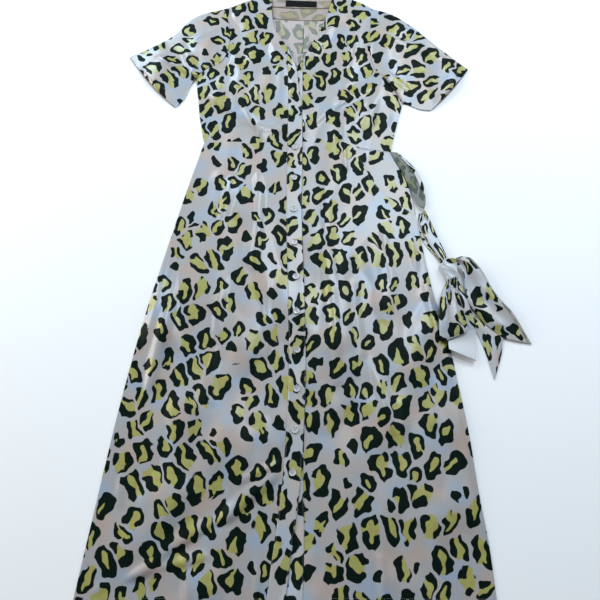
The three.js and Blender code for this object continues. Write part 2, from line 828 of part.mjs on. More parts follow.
// The knot is a barrel of cloth round the gathered belt, with a rounded rectangular opening
function beltKnot() {
  const rings = 4;
  const steps = 20;
  const heading = THREE.MathUtils.degToRad(knot.heading);
  const run = new THREE.Vector2(Math.cos(heading), Math.sin(heading));
  const side = new THREE.Vector2(-run.y, run.x);
  const round = (value) => Math.sign(value) * Math.abs(value) ** 0.6; // a circle with flattened sides
  return tube(rings, steps, (ring, step, inner) => {
    const angle = (2 * Math.PI * step) / steps;
    const share = ring / rings - 0.5;
    const swell = inner ? 0 : knot.wall + knot.bulge * Math.cos(Math.PI * share);
    const floorSwell = inner ? 0 : knot.wall;
    const over = (knot.halfWidth + swell) * round(Math.cos(angle));
    const up = Math.sin(angle);
    const rise = (knot.halfHeight + (up < 0 ? floorSwell : swell)) * round(up);
    const onward = share * knot.length;
    return [
      knot.x + run.x * onward + side.x * over,
      knot.y + run.y * onward + side.y * over,
      knot.halfHeight + knot.wall + rise,
    ];
  });
}

// A solid for cutting, from a closed geometry
function toSolid(geometry) {
  const merged = closed(geometry);
  const vertProperties = new Float32Array(merged.attributes.position.array);
  const triVerts = new Uint32Array(merged.index.array);
  return new wasm.Manifold(new wasm.Mesh({ numProp: 3, vertProperties, triVerts }));
}

// A sewn-through button with a raised rim and four holes, its base at z = 0
function button() {
  const profile = [
    { r: 0, z: 0 },
    { r: buttonRadius - 1, z: 0 },
    { r: buttonRadius, z: 0.8 },
    { r: buttonRadius, z: buttonDepth - 0.5 },
    { r: buttonRadius - 0.8, z: buttonDepth },
    { r: buttonRadius - 1.8, z: buttonDepth - 0.8 },
    { r: 0, z: buttonDepth - 0.8 },
  ];
  const turned = new THREE.LatheGeometry(profile.map(({ r, z }) => new THREE.Vector2(r, z)), 20);
  turned.rotateX(Math.PI / 2);
  let solid = toSolid(turned);
  for (let i = 0; i < 4; i++) {
    const angle = Math.PI / 4 + (i * Math.PI) / 2;
    const drill = new THREE.CylinderGeometry(holeRadius, holeRadius, 4 * buttonDepth, 6);
    drill.rotateX(Math.PI / 2);
    drill.translate(holeSpacing * Math.cos(angle), holeSpacing * Math.sin(angle), 0);
    solid = solid.subtract(toSolid(drill));
  }
  const { vertProperties, triVerts } = solid.getMesh();
  const geometry = new THREE.BufferGeometry();
  geometry.setAttribute('position', new THREE.BufferAttribute(vertProperties, 3));
  geometry.setIndex(new THREE.BufferAttribute(triVerts, 1));
  return geometry;
}

// ---------------------------------------------------------------------------------------------------
// The dress
// ---------------------------------------------------------------------------------------------------

const finish = (color, roughness) => new THREE.MeshStandardMaterial({ color, roughness, metalness: 0 });
const printed = () => finish(0xc9c8cf, 0.55);
const wrongSide = () => finish(0xaab0a6, 0.7);

const dress = new THREE.Group();

function add(name, geometry, material) {
  const mesh = new THREE.Mesh(geometry, material);
  mesh.name = name;
  dress.add(mesh);
  return mesh;
}

add('back_bodice_left', backBodiceLeft(), wrongSide());
add('back_bodice_right', backBodiceRight(), wrongSide());
add('back_skirt', backSkirt(), wrongSide());
add('front_bodice_left', frontBodiceLeft(), printed());
add('front_bodice_right', frontBodiceRight(), printed());
add('front_skirt_left', frontSkirtLeft(), printed());
add('front_skirt_right', frontSkirtRight(), printed());
add('pocket_side_piece', pocketSidePiece(), printed());
add('buttonhole_band', buttonholeBand(), printed());
add('button_band', buttonBand(), printed());
add('sleeve_left', sleeve(holeLeft, sleeveLeft, 1), printed());
add('sleeve_right', sleeve(holeRight, sleeveRight, -1), printed());
add('neck_facing', neckStrip(facingDepth, layer), wrongSide());
add('neck_band', neckStrip(neckBandDepth, 2 * layer), wrongSide());
add('neck_label', label(), finish(0x0c0c10, 0.6));
add('centre_back_allowance', centreBackAllowance(), wrongSide());
add('belt_strand_upper', ribbon(strandUpper, { across: 3, steps: 20 }), printed());
add('belt_strand_lower', ribbon(strandLower, { across: 2, steps: 10 }), printed());
add('belt_knot', beltKnot(), printed());
add('belt_tail_upper', ribbon(tailUpper, { across: 5, steps: 14, pleats: 1, depth: 0.8 }), printed());
add('belt_tail_lower', ribbon(tailLower, { across: 4, steps: 12 }), printed());
add('belt_loop_upper', ribbon(loopSections(loopUpper), { across: 7, steps: 20 }), printed());
add('belt_loop_lower', ribbon(loopSections(loopLower), { across: 5, steps: 20 }), printed());

const buttonGeometry = button();
for (let i = 0; i < buttonCount; i++) {
  const y = firstButton - i * buttonPitch;
  const x = seamAt(y, 'over') + bandWidth / 2;
  let seat = 0;
  for (const dx of [-buttonRadius, 0, buttonRadius]) {
    for (const dy of [-buttonRadius, 0, buttonRadius]) seat = Math.max(seat, lapHeight(x + dx, y + dy));
  }
  const mesh = add(`button_${i + 1}`, buttonGeometry.clone(), finish(0xe4e4e0, 0.3));
  mesh.position.set(x, y, seat + cloth + gap);
}

const extent = new THREE.Box3().setFromObject(dress);
const middle = extent.getCenter(new THREE.Vector3());
dress.position.set(-middle.x, -middle.y, -extent.min.z);

export default dress;
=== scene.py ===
import math
from contextlib import contextmanager

import bpy
import numpy as np
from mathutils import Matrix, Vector, noise
from mathutils.bvhtree import BVHTree
from mathutils.kdtree import KDTree


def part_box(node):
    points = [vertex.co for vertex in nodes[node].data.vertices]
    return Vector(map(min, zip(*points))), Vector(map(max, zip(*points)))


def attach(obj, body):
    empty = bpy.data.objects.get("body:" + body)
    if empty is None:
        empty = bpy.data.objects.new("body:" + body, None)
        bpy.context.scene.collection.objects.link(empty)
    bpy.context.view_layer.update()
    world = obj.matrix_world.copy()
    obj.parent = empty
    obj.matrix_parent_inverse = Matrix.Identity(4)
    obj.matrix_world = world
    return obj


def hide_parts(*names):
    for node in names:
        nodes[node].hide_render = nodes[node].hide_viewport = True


# A printed satin midi dress laid out on its back, with its belt tied in a bow beside the hip.
# Metres. +Z is up from the floor and +Y runs from the hem to the neck.

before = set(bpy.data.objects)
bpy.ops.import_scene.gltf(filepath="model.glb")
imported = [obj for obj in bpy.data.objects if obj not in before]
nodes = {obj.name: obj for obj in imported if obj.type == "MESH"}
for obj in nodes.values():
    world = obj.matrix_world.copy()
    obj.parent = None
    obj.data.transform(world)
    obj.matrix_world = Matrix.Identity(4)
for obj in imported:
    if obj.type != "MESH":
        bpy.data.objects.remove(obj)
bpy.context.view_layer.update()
print("frame loaded,", len(nodes), "nodes")

# The tables below count from the point where the waist seam crosses the buttons, in millimetres
lowButton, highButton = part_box("button_1")
zeroShift = (0.0011, 0.012)  # from the middle of button_1, in metres
zeroX = (lowButton.x + highButton.x) / 2 + zeroShift[0]
zeroY = (lowButton.y + highButton.y) / 2 + zeroShift[1]


def place(x, y, z=0.0):  # from the tables' millimetres to the frame's metres
    return Vector((zeroX + x / 1000, zeroY + y / 1000, z / 1000))


def linked(name, data):  # a new object in the scene
    thing = bpy.data.objects.new(name, data)
    bpy.context.scene.collection.objects.link(thing)
    return thing


# Camera and lights

view = {"x": 32.2, "y": -699.6, "height": 1024.1, "tilt": 19.7, "turn": 1.9, "lens": 36.0}


def addCamera():
    data = bpy.data.cameras.new("camera")
    data.lens = view["lens"]
    camera = linked("camera", data)
    camera.location = place(view["x"], view["y"], view["height"])
    camera.rotation_euler = (math.radians(view["tilt"]), 0, math.radians(view["turn"]))
    bpy.context.scene.camera = camera


lights = {
    "window": {"at": (0.9, 1.5, 1.5), "size": (0.8, 0.8), "power": 20.0, "colour": (0.84, 0.92, 0.97)},
    "sideWindow": {"at": (1.9, 0.9, 0.7), "size": (0.8, 0.6), "power": 12.5, "colour": (0.74, 0.88, 1.0)},
    "highWindow": {"at": (0.3, 1.0, 2.3), "size": (0.42, 0.42), "power": 19.0, "colour": (0.72, 0.86, 1.0)},
    "farWindow": {"at": (-1.2, 2.0, 1.4), "size": (0.5, 0.5), "power": 24.0, "colour": (0.58, 0.82, 1.0)},
    "room": {"at": (-2.1, 0.5, 0.8), "size": (1.8, 1.2), "power": 40.0, "colour": (0.92, 0.88, 0.81)},
}
roomAir = {"colour": (0.95, 0.97, 1.0), "strength": 0.20}


def addLights():
    for name, row in lights.items():
        data = bpy.data.lights.new(name, "AREA")
        data.shape = "RECTANGLE"
        data.size, data.size_y = row["size"]
        data.energy = row["power"]
        data.color = row["colour"]
        lamp = linked(name, data)
        lamp.location = row["at"]
        lamp.rotation_euler = (-lamp.location).to_track_quat("-Z", "Y").to_euler()  # towards the dress
    world = bpy.data.worlds.new("studio")
    bpy.context.scene.world = world
    world.use_nodes = True
    air = world.node_tree.nodes["Background"].inputs
    air["Color"].default_value = (*roomAir["colour"], 1)
    air["Strength"].default_value = roomAir["strength"]


# Shader sums

class Wire:  # one output socket; Python sums on it add Math nodes
    def __init__(self, tree, socket):
        self.tree = tree
        self.socket = socket

    def make(self, kind, settings=None, inputs=None, output=0):
        node = self.tree.nodes.new(kind)
        for name, value in (settings or {}).items():
            if name == "stops":
                while len(node.color_ramp.elements) < len(value):
                    node.color_ramp.elements.new(0.5)
                for element, (position, colour) in zip(node.color_ramp.elements, value):
                    element.position = position
                    element.color = (*colour, 1)
            else:
                setattr(node, name, value)
        for name, value in (inputs or {}).items():
            socket = node.inputs[name]
            if isinstance(value, Wire):
                self.tree.links.new(value.socket, socket)
            elif socket.type == "RGBA":
                socket.default_value = (*value, 1)
            else:
                socket.default_value = value
        return Wire(self.tree, node.outputs[output])

    def other(self, output):  # another output of the same node
        return Wire(self.tree, self.socket.node.outputs[output])

    def parts(self, kind="XYZ"):
        first = self.make("ShaderNodeSeparate" + kind, {}, {0: self})
        return [first, first.other(1), first.other(2)]

    def math(self, operation, *values):
        return self.make("ShaderNodeMath", {"operation": operation}, dict(enumerate((self, *values))))

    def __add__(self, value):
        return self.math("ADD", value)

    def __sub__(self, value):
        return self.math("SUBTRACT", value)

    def __mul__(self, value):
        return self.math("MULTIPLY", value)

    def __truediv__(self, value):
        return self.math("DIVIDE", value)

    def __neg__(self):
        return self.math("MULTIPLY", -1.0)

    def __rsub__(self, value):
        return self.make("ShaderNodeMath", {"operation": "SUBTRACT"}, {0: value, 1: self})

    __radd__ = __add__
    __rmul__ = __mul__


def lengthOf(a, b):
    return (a * a + b * b).math("SQRT")


def softMax(a, b, softness):
    return a.math("SMOOTH_MAX", b, softness)


def held(value):  # between 0 and 1
    return value.math("MINIMUM", 1.0).math("MAXIMUM", 0.0)


def ranged(pair, share):  # the least value, and how much more it may be
    return pair[0] + pair[1] * share


def within(distance, edge):  # 1 inside an outline, 0 outside it
    return held(0.5 - distance / (2 * edge))


def blendColours(share, first, second):
    inputs = {0: share, 6: first, 7: second}
    return share.make("ShaderNodeMix", {"data_type": "RGBA"}, inputs, 2)


def softNoise(where, scale, detail=1.0, output=0, kind="3D"):
    inputs = {"Vector": where, "Scale": scale, "Detail": detail}
    return where.make("ShaderNodeTexNoise", {"noise_dimensions": kind}, inputs, output)


def startMaterial(name, **values):
    material = bpy.data.materials.new(name)
    material.use_nodes = True
    tree = material.node_tree
    shader = tree.nodes["Principled BSDF"]
    for socket, value in values.items():
        shader.inputs[socket.replace("_", " ")].default_value = value
    return material, tree, shader


def feed(tree, shader, **wires):
    for socket, wire in wires.items():
        tree.links.new(wire.socket, shader.inputs[socket.replace("_", " ")])


def ownPlace(tree):
    return Wire(tree, tree.nodes.new("ShaderNodeTexCoord").outputs["Object"])


# The print

leopard = {
    "cellWidth": 0.0350,  # one rosette stands in each cell
    "cellHeight": 0.0498,
    "scatter": 0.60,
    "stagger": 0.46,  # each row is shifted by this much of a cell
    "slope": 0.24,  # and climbs by this much
    "drift": 0.011,  # how far the rows wander
    "driftScale": 13.0,
    "wobble": 0.0048,  # hand-drawn outline
    "wobbleScale": 66.0,
    "nibble": 0.0008,  # and its small unevenness
    "nibbleScale": 125.0,
    "lean": 1.2,  # how far the rosettes turn from upright
    "tall": (0.0190, 0.0132),  # half a rosette's height, from its least, and how much more
    "wide": (0.51, 0.25),  # and its width, as a share of that
    "fewSmall": 0.10,  # the share of cells that hold a small plain spot
    "smallShrink": 0.55,
    "squareness": (2.3, 1.9),  # across and along
    "egg": 0.50,  # one end broader than the other
    "bend": 0.75,
    "apart": 0.048,  # kept clear of the next cell
    "apartSteep": 2.6,
    "apartSoft": 0.76,
    "holeWide": (0.225, 0.115),
    "holeTall": (0.395, 0.17),
    "holeShift": (0.26, 0.30),  # sideways and along
    "holeSteep": 0.42,
    "gapFlare": (0.50, 0.55),  # the gaps in the ring widen outwards
    "gapStart": 0.12,
    "firstGap": {"above": 0.30, "width": (0.10, 0.42)},  # only where the draw is above this
    "secondGap": {"above": 0.55, "width": (0.10, 0.36), "wander": 1.8},
    "ringSoft": 0.16,
    "darkSoft": 0.38,
    "fillingShort": (0.10, 0.16),  # the filling ends this far inside the spot and inside the cell
    "darkBlur": 0.020,
    "limeBlur": 0.028,
    "ground": (0.376, 0.361, 0.360),
    # painted light: random warm patches of painted shade and cool bluish patches of painted sheen on the
    # ground
    "paintedWarmShade": (0.434, 0.346, 0.300),
    "paintedCoolSheen": (0.318, 0.378, 0.462),
    "lime": (0.345, 0.342, 0.082),
    "limeWarm": (0.350, 0.290, 0.080),
    "dark": (0.0016, 0.0046, 0.0029),
    "darkEdge": (0.0026, 0.0120, 0.0086),
}


def bareStretchAndHighlight(cloth):  # 1 where a stretch of the belt is left plain, which also gets a painted highlight
    return cloth.make("ShaderNodeAttribute", {"attribute_name": "bare"}, {}, "Fac")


def driftedCells(cloth):  # the flat cloth in cells, its rows wandering and its outlines drawn by hand
    u, v, _ = cloth.parts()
    wanders = []
    for kind, detail in (("drift", 1.0), ("wobble", 0.0), ("nibble", 0.0)):
        wander = softNoise(cloth, leopard[kind + "Scale"], detail, "Color", kind="2D").parts()
        wanders.append((wander, 2 * leopard[kind]))
    cells = []
    for axis, line, size in ((0, u, leopard["cellWidth"]), (1, v, leopard["cellHeight"])):
        for wander, most in wanders:
            line = line + (wander[axis] - 0.5) * most
        cells.append(line / size)
    return cells[0] + cells[1] * leopard["stagger"], cells[1] - cells[0] * leopard["slope"]


def rosettes(cloth):
    cellX, cellY = driftedCells(cloth)
    spot = cellX.make("ShaderNodeCombineXYZ", {}, {"X": cellX, "Y": cellY})
    grid = {"Vector": spot, "Scale": 1.0, "Randomness": leopard["scatter"]}
    middle = spot.make("ShaderNodeTexVoronoi", {"voronoi_dimensions": "2D"}, grid, "Position")
    flat = {"voronoi_dimensions": "2D", "feature": "DISTANCE_TO_EDGE"}
    edge = spot.make("ShaderNodeTexVoronoi", flat, grid, "Distance")
    lean, size, breadth = middle.other("Color").parts("Color")
    second = middle.make("ShaderNodeTexWhiteNoise", {"noise_dimensions": "2D"}, {"Vector": middle}, "Color")
    aim, opening, gape = second.parts("Color")
    small = second.other("Value").math("LESS_THAN", leopard["fewSmall"])
    middleX, middleY, _ = middle.parts()
    alongX, alongY = cellX - middleX, cellY - middleY
    alongY = (alongY + alongX * leopard["slope"]) / (1 + leopard["slope"] * leopard["stagger"])
    acrossCell = (alongX - alongY * leopard["stagger"]) * leopard["cellWidth"]
    alongCell = alongY * leopard["cellHeight"]
    turn = (lean - 0.5) * leopard["lean"]
    cosine, sine = turn.math("COSINE"), turn.math("SINE")
    tall = ranged(leopard["tall"], size)
    wide = tall * ranged(leopard["wide"], breadth)
    shrink = 1.0 - small * leopard["smallShrink"]
    x = (acrossCell * cosine + alongCell * sine) / (wide * shrink)
    y = (alongCell * cosine - acrossCell * sine) / (tall * shrink)
    x = x * (1.0 + leopard["egg"] * (gape - 0.5) * y)
    x = x + (aim - 0.5) * leopard["bend"] * (y * y - 0.3)
    powerX, powerY = leopard["squareness"]
    body = x.math("ABSOLUTE").math("POWER", powerX) + y.math("ABSOLUTE").math("POWER", powerY)
    oval = body.math("POWER", 0.5) - 1.0
    outer = softMax(oval, (leopard["apart"] - edge) * leopard["apartSteep"], leopard["apartSoft"])
    holeX = (x - (opening - 0.5) * leopard["holeShift"][0]) / ranged(leopard["holeWide"], aim)
    holeY = (y - (aim - 0.5) * leopard["holeShift"][1]) / ranged(leopard["holeTall"], opening)
    closed = small * 2.0  # a small spot has no hole and no gaps
    hole = (lengthOf(holeX, holeY) - 1.0) * leopard["holeSteep"] + closed

    def gap(angle, draw, row):  # a gap in the ring, on the side that the angle gives
        width = draw.math("GREATER_THAN", row["above"]) * ranged(row["width"], draw) - row["width"][0]
        onward = x * angle.math("COSINE") + y * angle.math("SINE")
        sideways = (y * angle.math("COSINE") - x * angle.math("SINE")).math("ABSOLUTE")
        start = leopard["gapStart"]
        return softMax(sideways - width * ranged(leopard["gapFlare"], onward), start - onward, start) + closed

    angle = aim * math.tau
    firstGap = gap(angle, gape, leopard["firstGap"])
    angle = angle + math.pi + (size - 0.5) * leopard["secondGap"]["wander"]
    secondGap = gap(angle, opening, leopard["secondGap"])
    ring = softMax(softMax(-hole, -firstGap, leopard["ringSoft"]), -secondGap, leopard["ringSoft"])
    dark = softMax(outer, ring, leopard["darkSoft"])
    inSpot, inCell = leopard["fillingShort"]
    lime = softMax(softMax(oval + inSpot, outer + inCell, 0.30), small - 0.5, 0.1)
    shown = 1.0 - bareStretchAndHighlight(cloth)
    return within(dark, leopard["darkBlur"]) * shown, within(lime, leopard["limeBlur"]) * shown


def clothRows(tree):  # the cut piece's own flat coordinates
    node = tree.nodes.new("ShaderNodeUVMap")
    node.uv_map = "cut"
    return Wire(tree, node.outputs["UV"])


def weave(cloth, strength):  # fine threads, and a slight unevenness
    mapped = cloth.make("ShaderNodeMapping", {}, {"Vector": cloth, "Scale": (4200.0, 900.0, 1.0)})
    height = softNoise(mapped, 1.0, 1.0) + softNoise(cloth, 55.0, 2.0) * 6.0
    return height.make("ShaderNodeBump", {}, {"Height": height, "Strength": strength, "Distance": 0.00006})


def printedColour(cloth):
    dark, lime = rosettes(cloth)
    # painted shade and painted sheen: warm and cool patches laid at random over the ground colour
    shadeAndSheenPatch = softNoise(cloth, 21.0, 1.0)
    ground = blendColours(held((shadeAndSheenPatch - 0.50) * 5.5), leopard["ground"], leopard["paintedWarmShade"])
    ground = blendColours(held((0.48 - shadeAndSheenPatch) * 5.5), ground, leopard["paintedCoolSheen"])
    limeShade = held((softNoise(cloth, 110.0, 2.0) - 0.45) * 5.0)
    filling = blendColours(limeShade, leopard["lime"], leopard["limeWarm"])
    ink = blendColours(softNoise(cloth, 160.0, 2.0), leopard["dark"], leopard["darkEdge"])
    return blendColours(dark, blendColours(lime, ground, filling), ink), dark, lime


satin = {
    "doubledPalerPaintedLight": 0.20,  # painted light: how much paler the cloth of the bands and the belt is made
    "barePaintedHighlight": 0.45,  # painted highlight: this much paler again where it carries no spots
    "limeHolds": 0.8,  # the filling keeps most of its colour there
    # the pale bluish white that the painted light blends towards
    "pale": (0.66, 0.69, 0.72),
    "rough": (0.50, 0.10),
    "inkSmoother": 0.04,
    "coat": 0.85,
    "inkCoatLess": 0.83,
    "weave": 0.35,
}


def makePrinted(name, paler):
    material, tree, shader = startMaterial(name, Specular_IOR_Level=0.05, Coat_Roughness=0.38, Coat_IOR=1.85)
    cloth = clothRows(tree)
    colour, dark, lime = printedColour(cloth)
    # painted light: the cloth of the bands and belt, and the plain stretches more, are blended towards the
    # pale colour
    share = (1.0 - dark) * (1.0 - lime * satin["limeHolds"]) * paler + bareStretchAndHighlight(cloth) * satin["barePaintedHighlight"]
    rough = ranged(satin["rough"], softNoise(cloth, 30.0, 2.0)) - dark * satin["inkSmoother"]
    feed(tree, shader, Base_Color=blendColours(share, colour, satin["pale"]), Roughness=rough,
         Coat_Weight=satin["coat"] - dark * satin["inkCoatLess"], Normal=weave(cloth, satin["weave"]))
    return material


fadedCloths = {  # the cloth where it shows its wrong side, with the print faint through it
    "wrongSide": {"pale": (0.45, 0.39, 0.375), "paler": (0.50, 0.45, 0.44), "lime": (0.37, 0.35, 0.21),
                  "limeShare": 0.75, "dark": (0.17, 0.19, 0.175), "darkShare": 0.80},
    "facingCloth": {"pale": (0.36, 0.29, 0.26), "paler": (0.43, 0.36, 0.33), "lime": (0.30, 0.26, 0.13),
                    "limeShare": 0.7, "dark": (0.17, 0.17, 0.14), "darkShare": 0.55},
    # painted shade: the wrong side made darker and greener, for the belt strands that lie in shade
    "shadedSide": {"pale": (0.195, 0.205, 0.190), "paler": (0.235, 0.240, 0.225), "lime": (0.17, 0.18, 0.09),
                   "limeShare": 0.7, "dark": (0.060, 0.085, 0.075), "darkShare": 0.85},
}


def makeFaded(name):
    tones = fadedCloths[name]
    material, tree, shader = startMaterial(name, Specular_IOR_Level=0.18)
    cloth = clothRows(tree)
    _, dark, lime = printedColour(cloth)
    base = blendColours(softNoise(cloth, 14.0, 1.0), tones["pale"], tones["paler"])
    base = blendColours(lime * tones["limeShare"], base, tones["lime"])
    base = blendColours(dark * tones["darkShare"], base, tones["dark"])
    rough = ranged((0.62, 0.10), softNoise(cloth, 60.0))
    feed(tree, shader, Base_Color=base, Roughness=rough, Normal=weave(cloth, 0.4))
    return material


def makeThread():
    material, tree, shader = startMaterial("paleThread", Specular_IOR_Level=0.3)
    twist = softNoise(ownPlace(tree), 2600.0, 1.0)
    feed(tree, shader, Base_Color=blendColours(twist, (0.33, 0.33, 0.37), (0.47, 0.47, 0.50)),
         Roughness=ranged((0.5, 0.2), twist))
    return material


def makePearl():
    material, tree, shader = startMaterial(
        "pearlButton", Specular_IOR_Level=0.6, Coat_Weight=0.5, Coat_Roughness=0.12, Subsurface_Weight=0.06,
        Subsurface_Radius=(0.002, 0.002, 0.002))
    where = ownPlace(tree)
    mapped = where.make("ShaderNodeMapping", {}, {"Vector": where, "Scale": (260.0, 120.0, 260.0)})
    cloud = softNoise(mapped, 1.0, 3.0)
    stops = ((0.30, (0.44, 0.42, 0.43)), (0.5, (0.51, 0.50, 0.51)), (0.72, (0.56, 0.57, 0.61)))
    shade = cloud.make("ShaderNodeValToRGB", {"stops": stops}, {0: cloud})
    feed(tree, shader, Base_Color=shade, Roughness=ranged((0.22, 0.14), cloud))
    return material


def makeLabel():
    material, tree, shader = startMaterial("labelTape", Specular_IOR_Level=0.06)
    where = ownPlace(tree)
    ribSizes = {"Vector": where, "Scale": 420.0, "Distortion": 0.4}
    ribs = where.make("ShaderNodeTexWave", {"bands_direction": "Y"}, ribSizes, "Fac")
    bump = ribs.make("ShaderNodeBump", {}, {"Height": ribs, "Strength": 0.4, "Distance": 0.0001})
    feed(tree, shader, Base_Color=blendColours(ribs, (0.004, 0.004, 0.005), (0.010, 0.010, 0.012)),
         Roughness=ranged((0.5, 0.2), softNoise(where, 300.0)), Normal=bump)
    return material


def makeFloor():
    material, tree, shader = startMaterial("paleFloor", Specular_IOR_Level=0.0)
    cloud = softNoise(ownPlace(tree), 2.0, 2.0)
    feed(tree, shader, Base_Color=blendColours(cloud, (0.93, 0.93, 0.935), (0.95, 0.95, 0.955)),
         Roughness=ranged((0.85, 0.10), cloud))
    return material


# Mesh helpers

def takeUp(piece):
    if bpy.context.object and bpy.context.object.mode != "OBJECT":
        bpy.ops.object.mode_set(mode="OBJECT")
    bpy.ops.object.select_all(action="DESELECT")
    if piece:
        piece.select_set(True)
        bpy.context.view_layer.objects.active = piece


def added(operator, **settings):  # a new primitive, with nothing else selected
    takeUp(None)
    operator(**settings)
    return bpy.context.object


@contextmanager
def editing(piece):  # edit mode, with the whole of the piece selected
    takeUp(piece)
    bpy.ops.object.mode_set(mode="EDIT")
    bpy.ops.mesh.select_all(action="SELECT")
    yield
    bpy.ops.object.mode_set(mode="OBJECT")


def applyModifier(piece, kind, **settings):
    takeUp(piece)
    modifier = piece.modifiers.new(kind.lower(), kind)
    for name, value in settings.items():
        setattr(modifier, name, value)
    bpy.ops.object.modifier_apply(modifier=modifier.name)


def pointsOf(piece):
    points = np.empty(len(piece.data.vertices) * 3)
    piece.data.vertices.foreach_get("co", points)
    return points.reshape(-1, 3)


def setPoints(piece, points):
    piece.data.vertices.foreach_set("co", np.ascontiguousarray(points).ravel())
    piece.data.update()


def rimEdges(piece):  # the open edges, as pairs of vertex numbers
    count = {}
    for polygon in piece.data.polygons:
        for key in polygon.edge_keys:
            count[key] = count.get(key, 0) + 1
    return [key for key, times in count.items() if times == 1]


def keepFaces(piece, wanted):
    for polygon in piece.data.polygons:
        polygon.select = not wanted(polygon)
    for vertex in piece.data.vertices:
        vertex.select = False
    for edge in piece.data.edges:
        edge.select = False
    takeUp(piece)
    bpy.context.tool_settings.mesh_select_mode = (False, False, True)  # by faces, from the very first
    bpy.ops.object.mode_set(mode="EDIT")
    bpy.ops.mesh.delete(type="FACE")
    bpy.ops.object.mode_set(mode="OBJECT")


def mergedCopy(node, name):
    piece = linked(name, nodes[node].data.copy())
    piece.data.materials.clear()
    takeUp(piece)
    if piece.data.has_custom_normals:
        bpy.ops.mesh.customdata_custom_splitnormals_clear()
    with editing(piece):
        bpy.ops.mesh.remove_doubles(threshold=0.00002)
    while piece.data.uv_layers:
        piece.data.uv_layers.remove(piece.data.uv_layers[0])
    return piece


def makeQuads():
    bpy.ops.mesh.tris_convert_to_quads(face_threshold=math.radians(40), shape_threshold=math.radians(50))


def sharpenCorners(piece, least=33.0):  # corners of the outline stay corners when it is smoothed
    points = pointsOf(piece)
    ends = {}
    for a, b in rimEdges(piece):
        ends.setdefault(a, []).append(b)
        ends.setdefault(b, []).append(a)
    attribute = piece.data.attributes.new("crease_vert", "FLOAT", "POINT")
    for vertex, near in ends.items():
        if len(near) == 2:
            first = Vector(points[near[0]][:2]) - Vector(points[vertex][:2])
            second = Vector(points[near[1]][:2]) - Vector(points[vertex][:2])
            if first.length > 0 and second.length > 0 and 180 - math.degrees(first.angle(second)) > least:
                attribute.data[vertex].value = 1.0


def addUv(piece, rows):  # `rows` holds each vertex's place on the flat cut cloth
    layer = piece.data.uv_layers.new(name="cut")
    corners = np.empty(len(piece.data.loops), dtype=np.int64)
    piece.data.loops.foreach_get("vertex_index", corners)
    layer.data.foreach_set("uv", np.asarray(rows, dtype=float)[corners].ravel())


def cutRows(points, offset, turn):
    angle = math.radians(turn)
    x, y = points[:, 0], points[:, 1]
    across = x * math.cos(angle) + y * math.sin(angle) + offset[0]
    along = y * math.cos(angle) - x * math.sin(angle) + offset[1]
    return np.stack([across, along], 1)


def finishPiece(piece, node):
    piece.data.polygons.foreach_set("use_smooth", [True] * len(piece.data.polygons))
    piece.data.update()
    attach(piece, "root")
    if node:
        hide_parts(node)
    return piece


def crispEdges(piece, angle=50):
    piece.data.set_sharp_from_angle(angle=math.radians(angle))


def smoothShare(value):
    value = np.clip(value, 0, 1)
    return value * value * (3 - 2 * value)


def finderOf(points):
    finder = KDTree(len(points))
    for i, point in enumerate(points):
        finder.insert((point[0], point[1], 0), i)
    finder.balance()
    return finder


def rimFinder(piece, points):  # of the points along the open edges
    return finderOf([points[vertex] for edge in rimEdges(piece) for vertex in edge])


def distancesTo(finder, points):
    return np.array([finder.find((x, y, 0))[2] for x, y in points[:, :2]])


def surfaceOf(piece):
    return BVHTree.FromObject(piece, bpy.context.evaluated_depsgraph_get())


# The lie of the cloth: one field of folds for all the upper layers, which keeps them from cutting each other

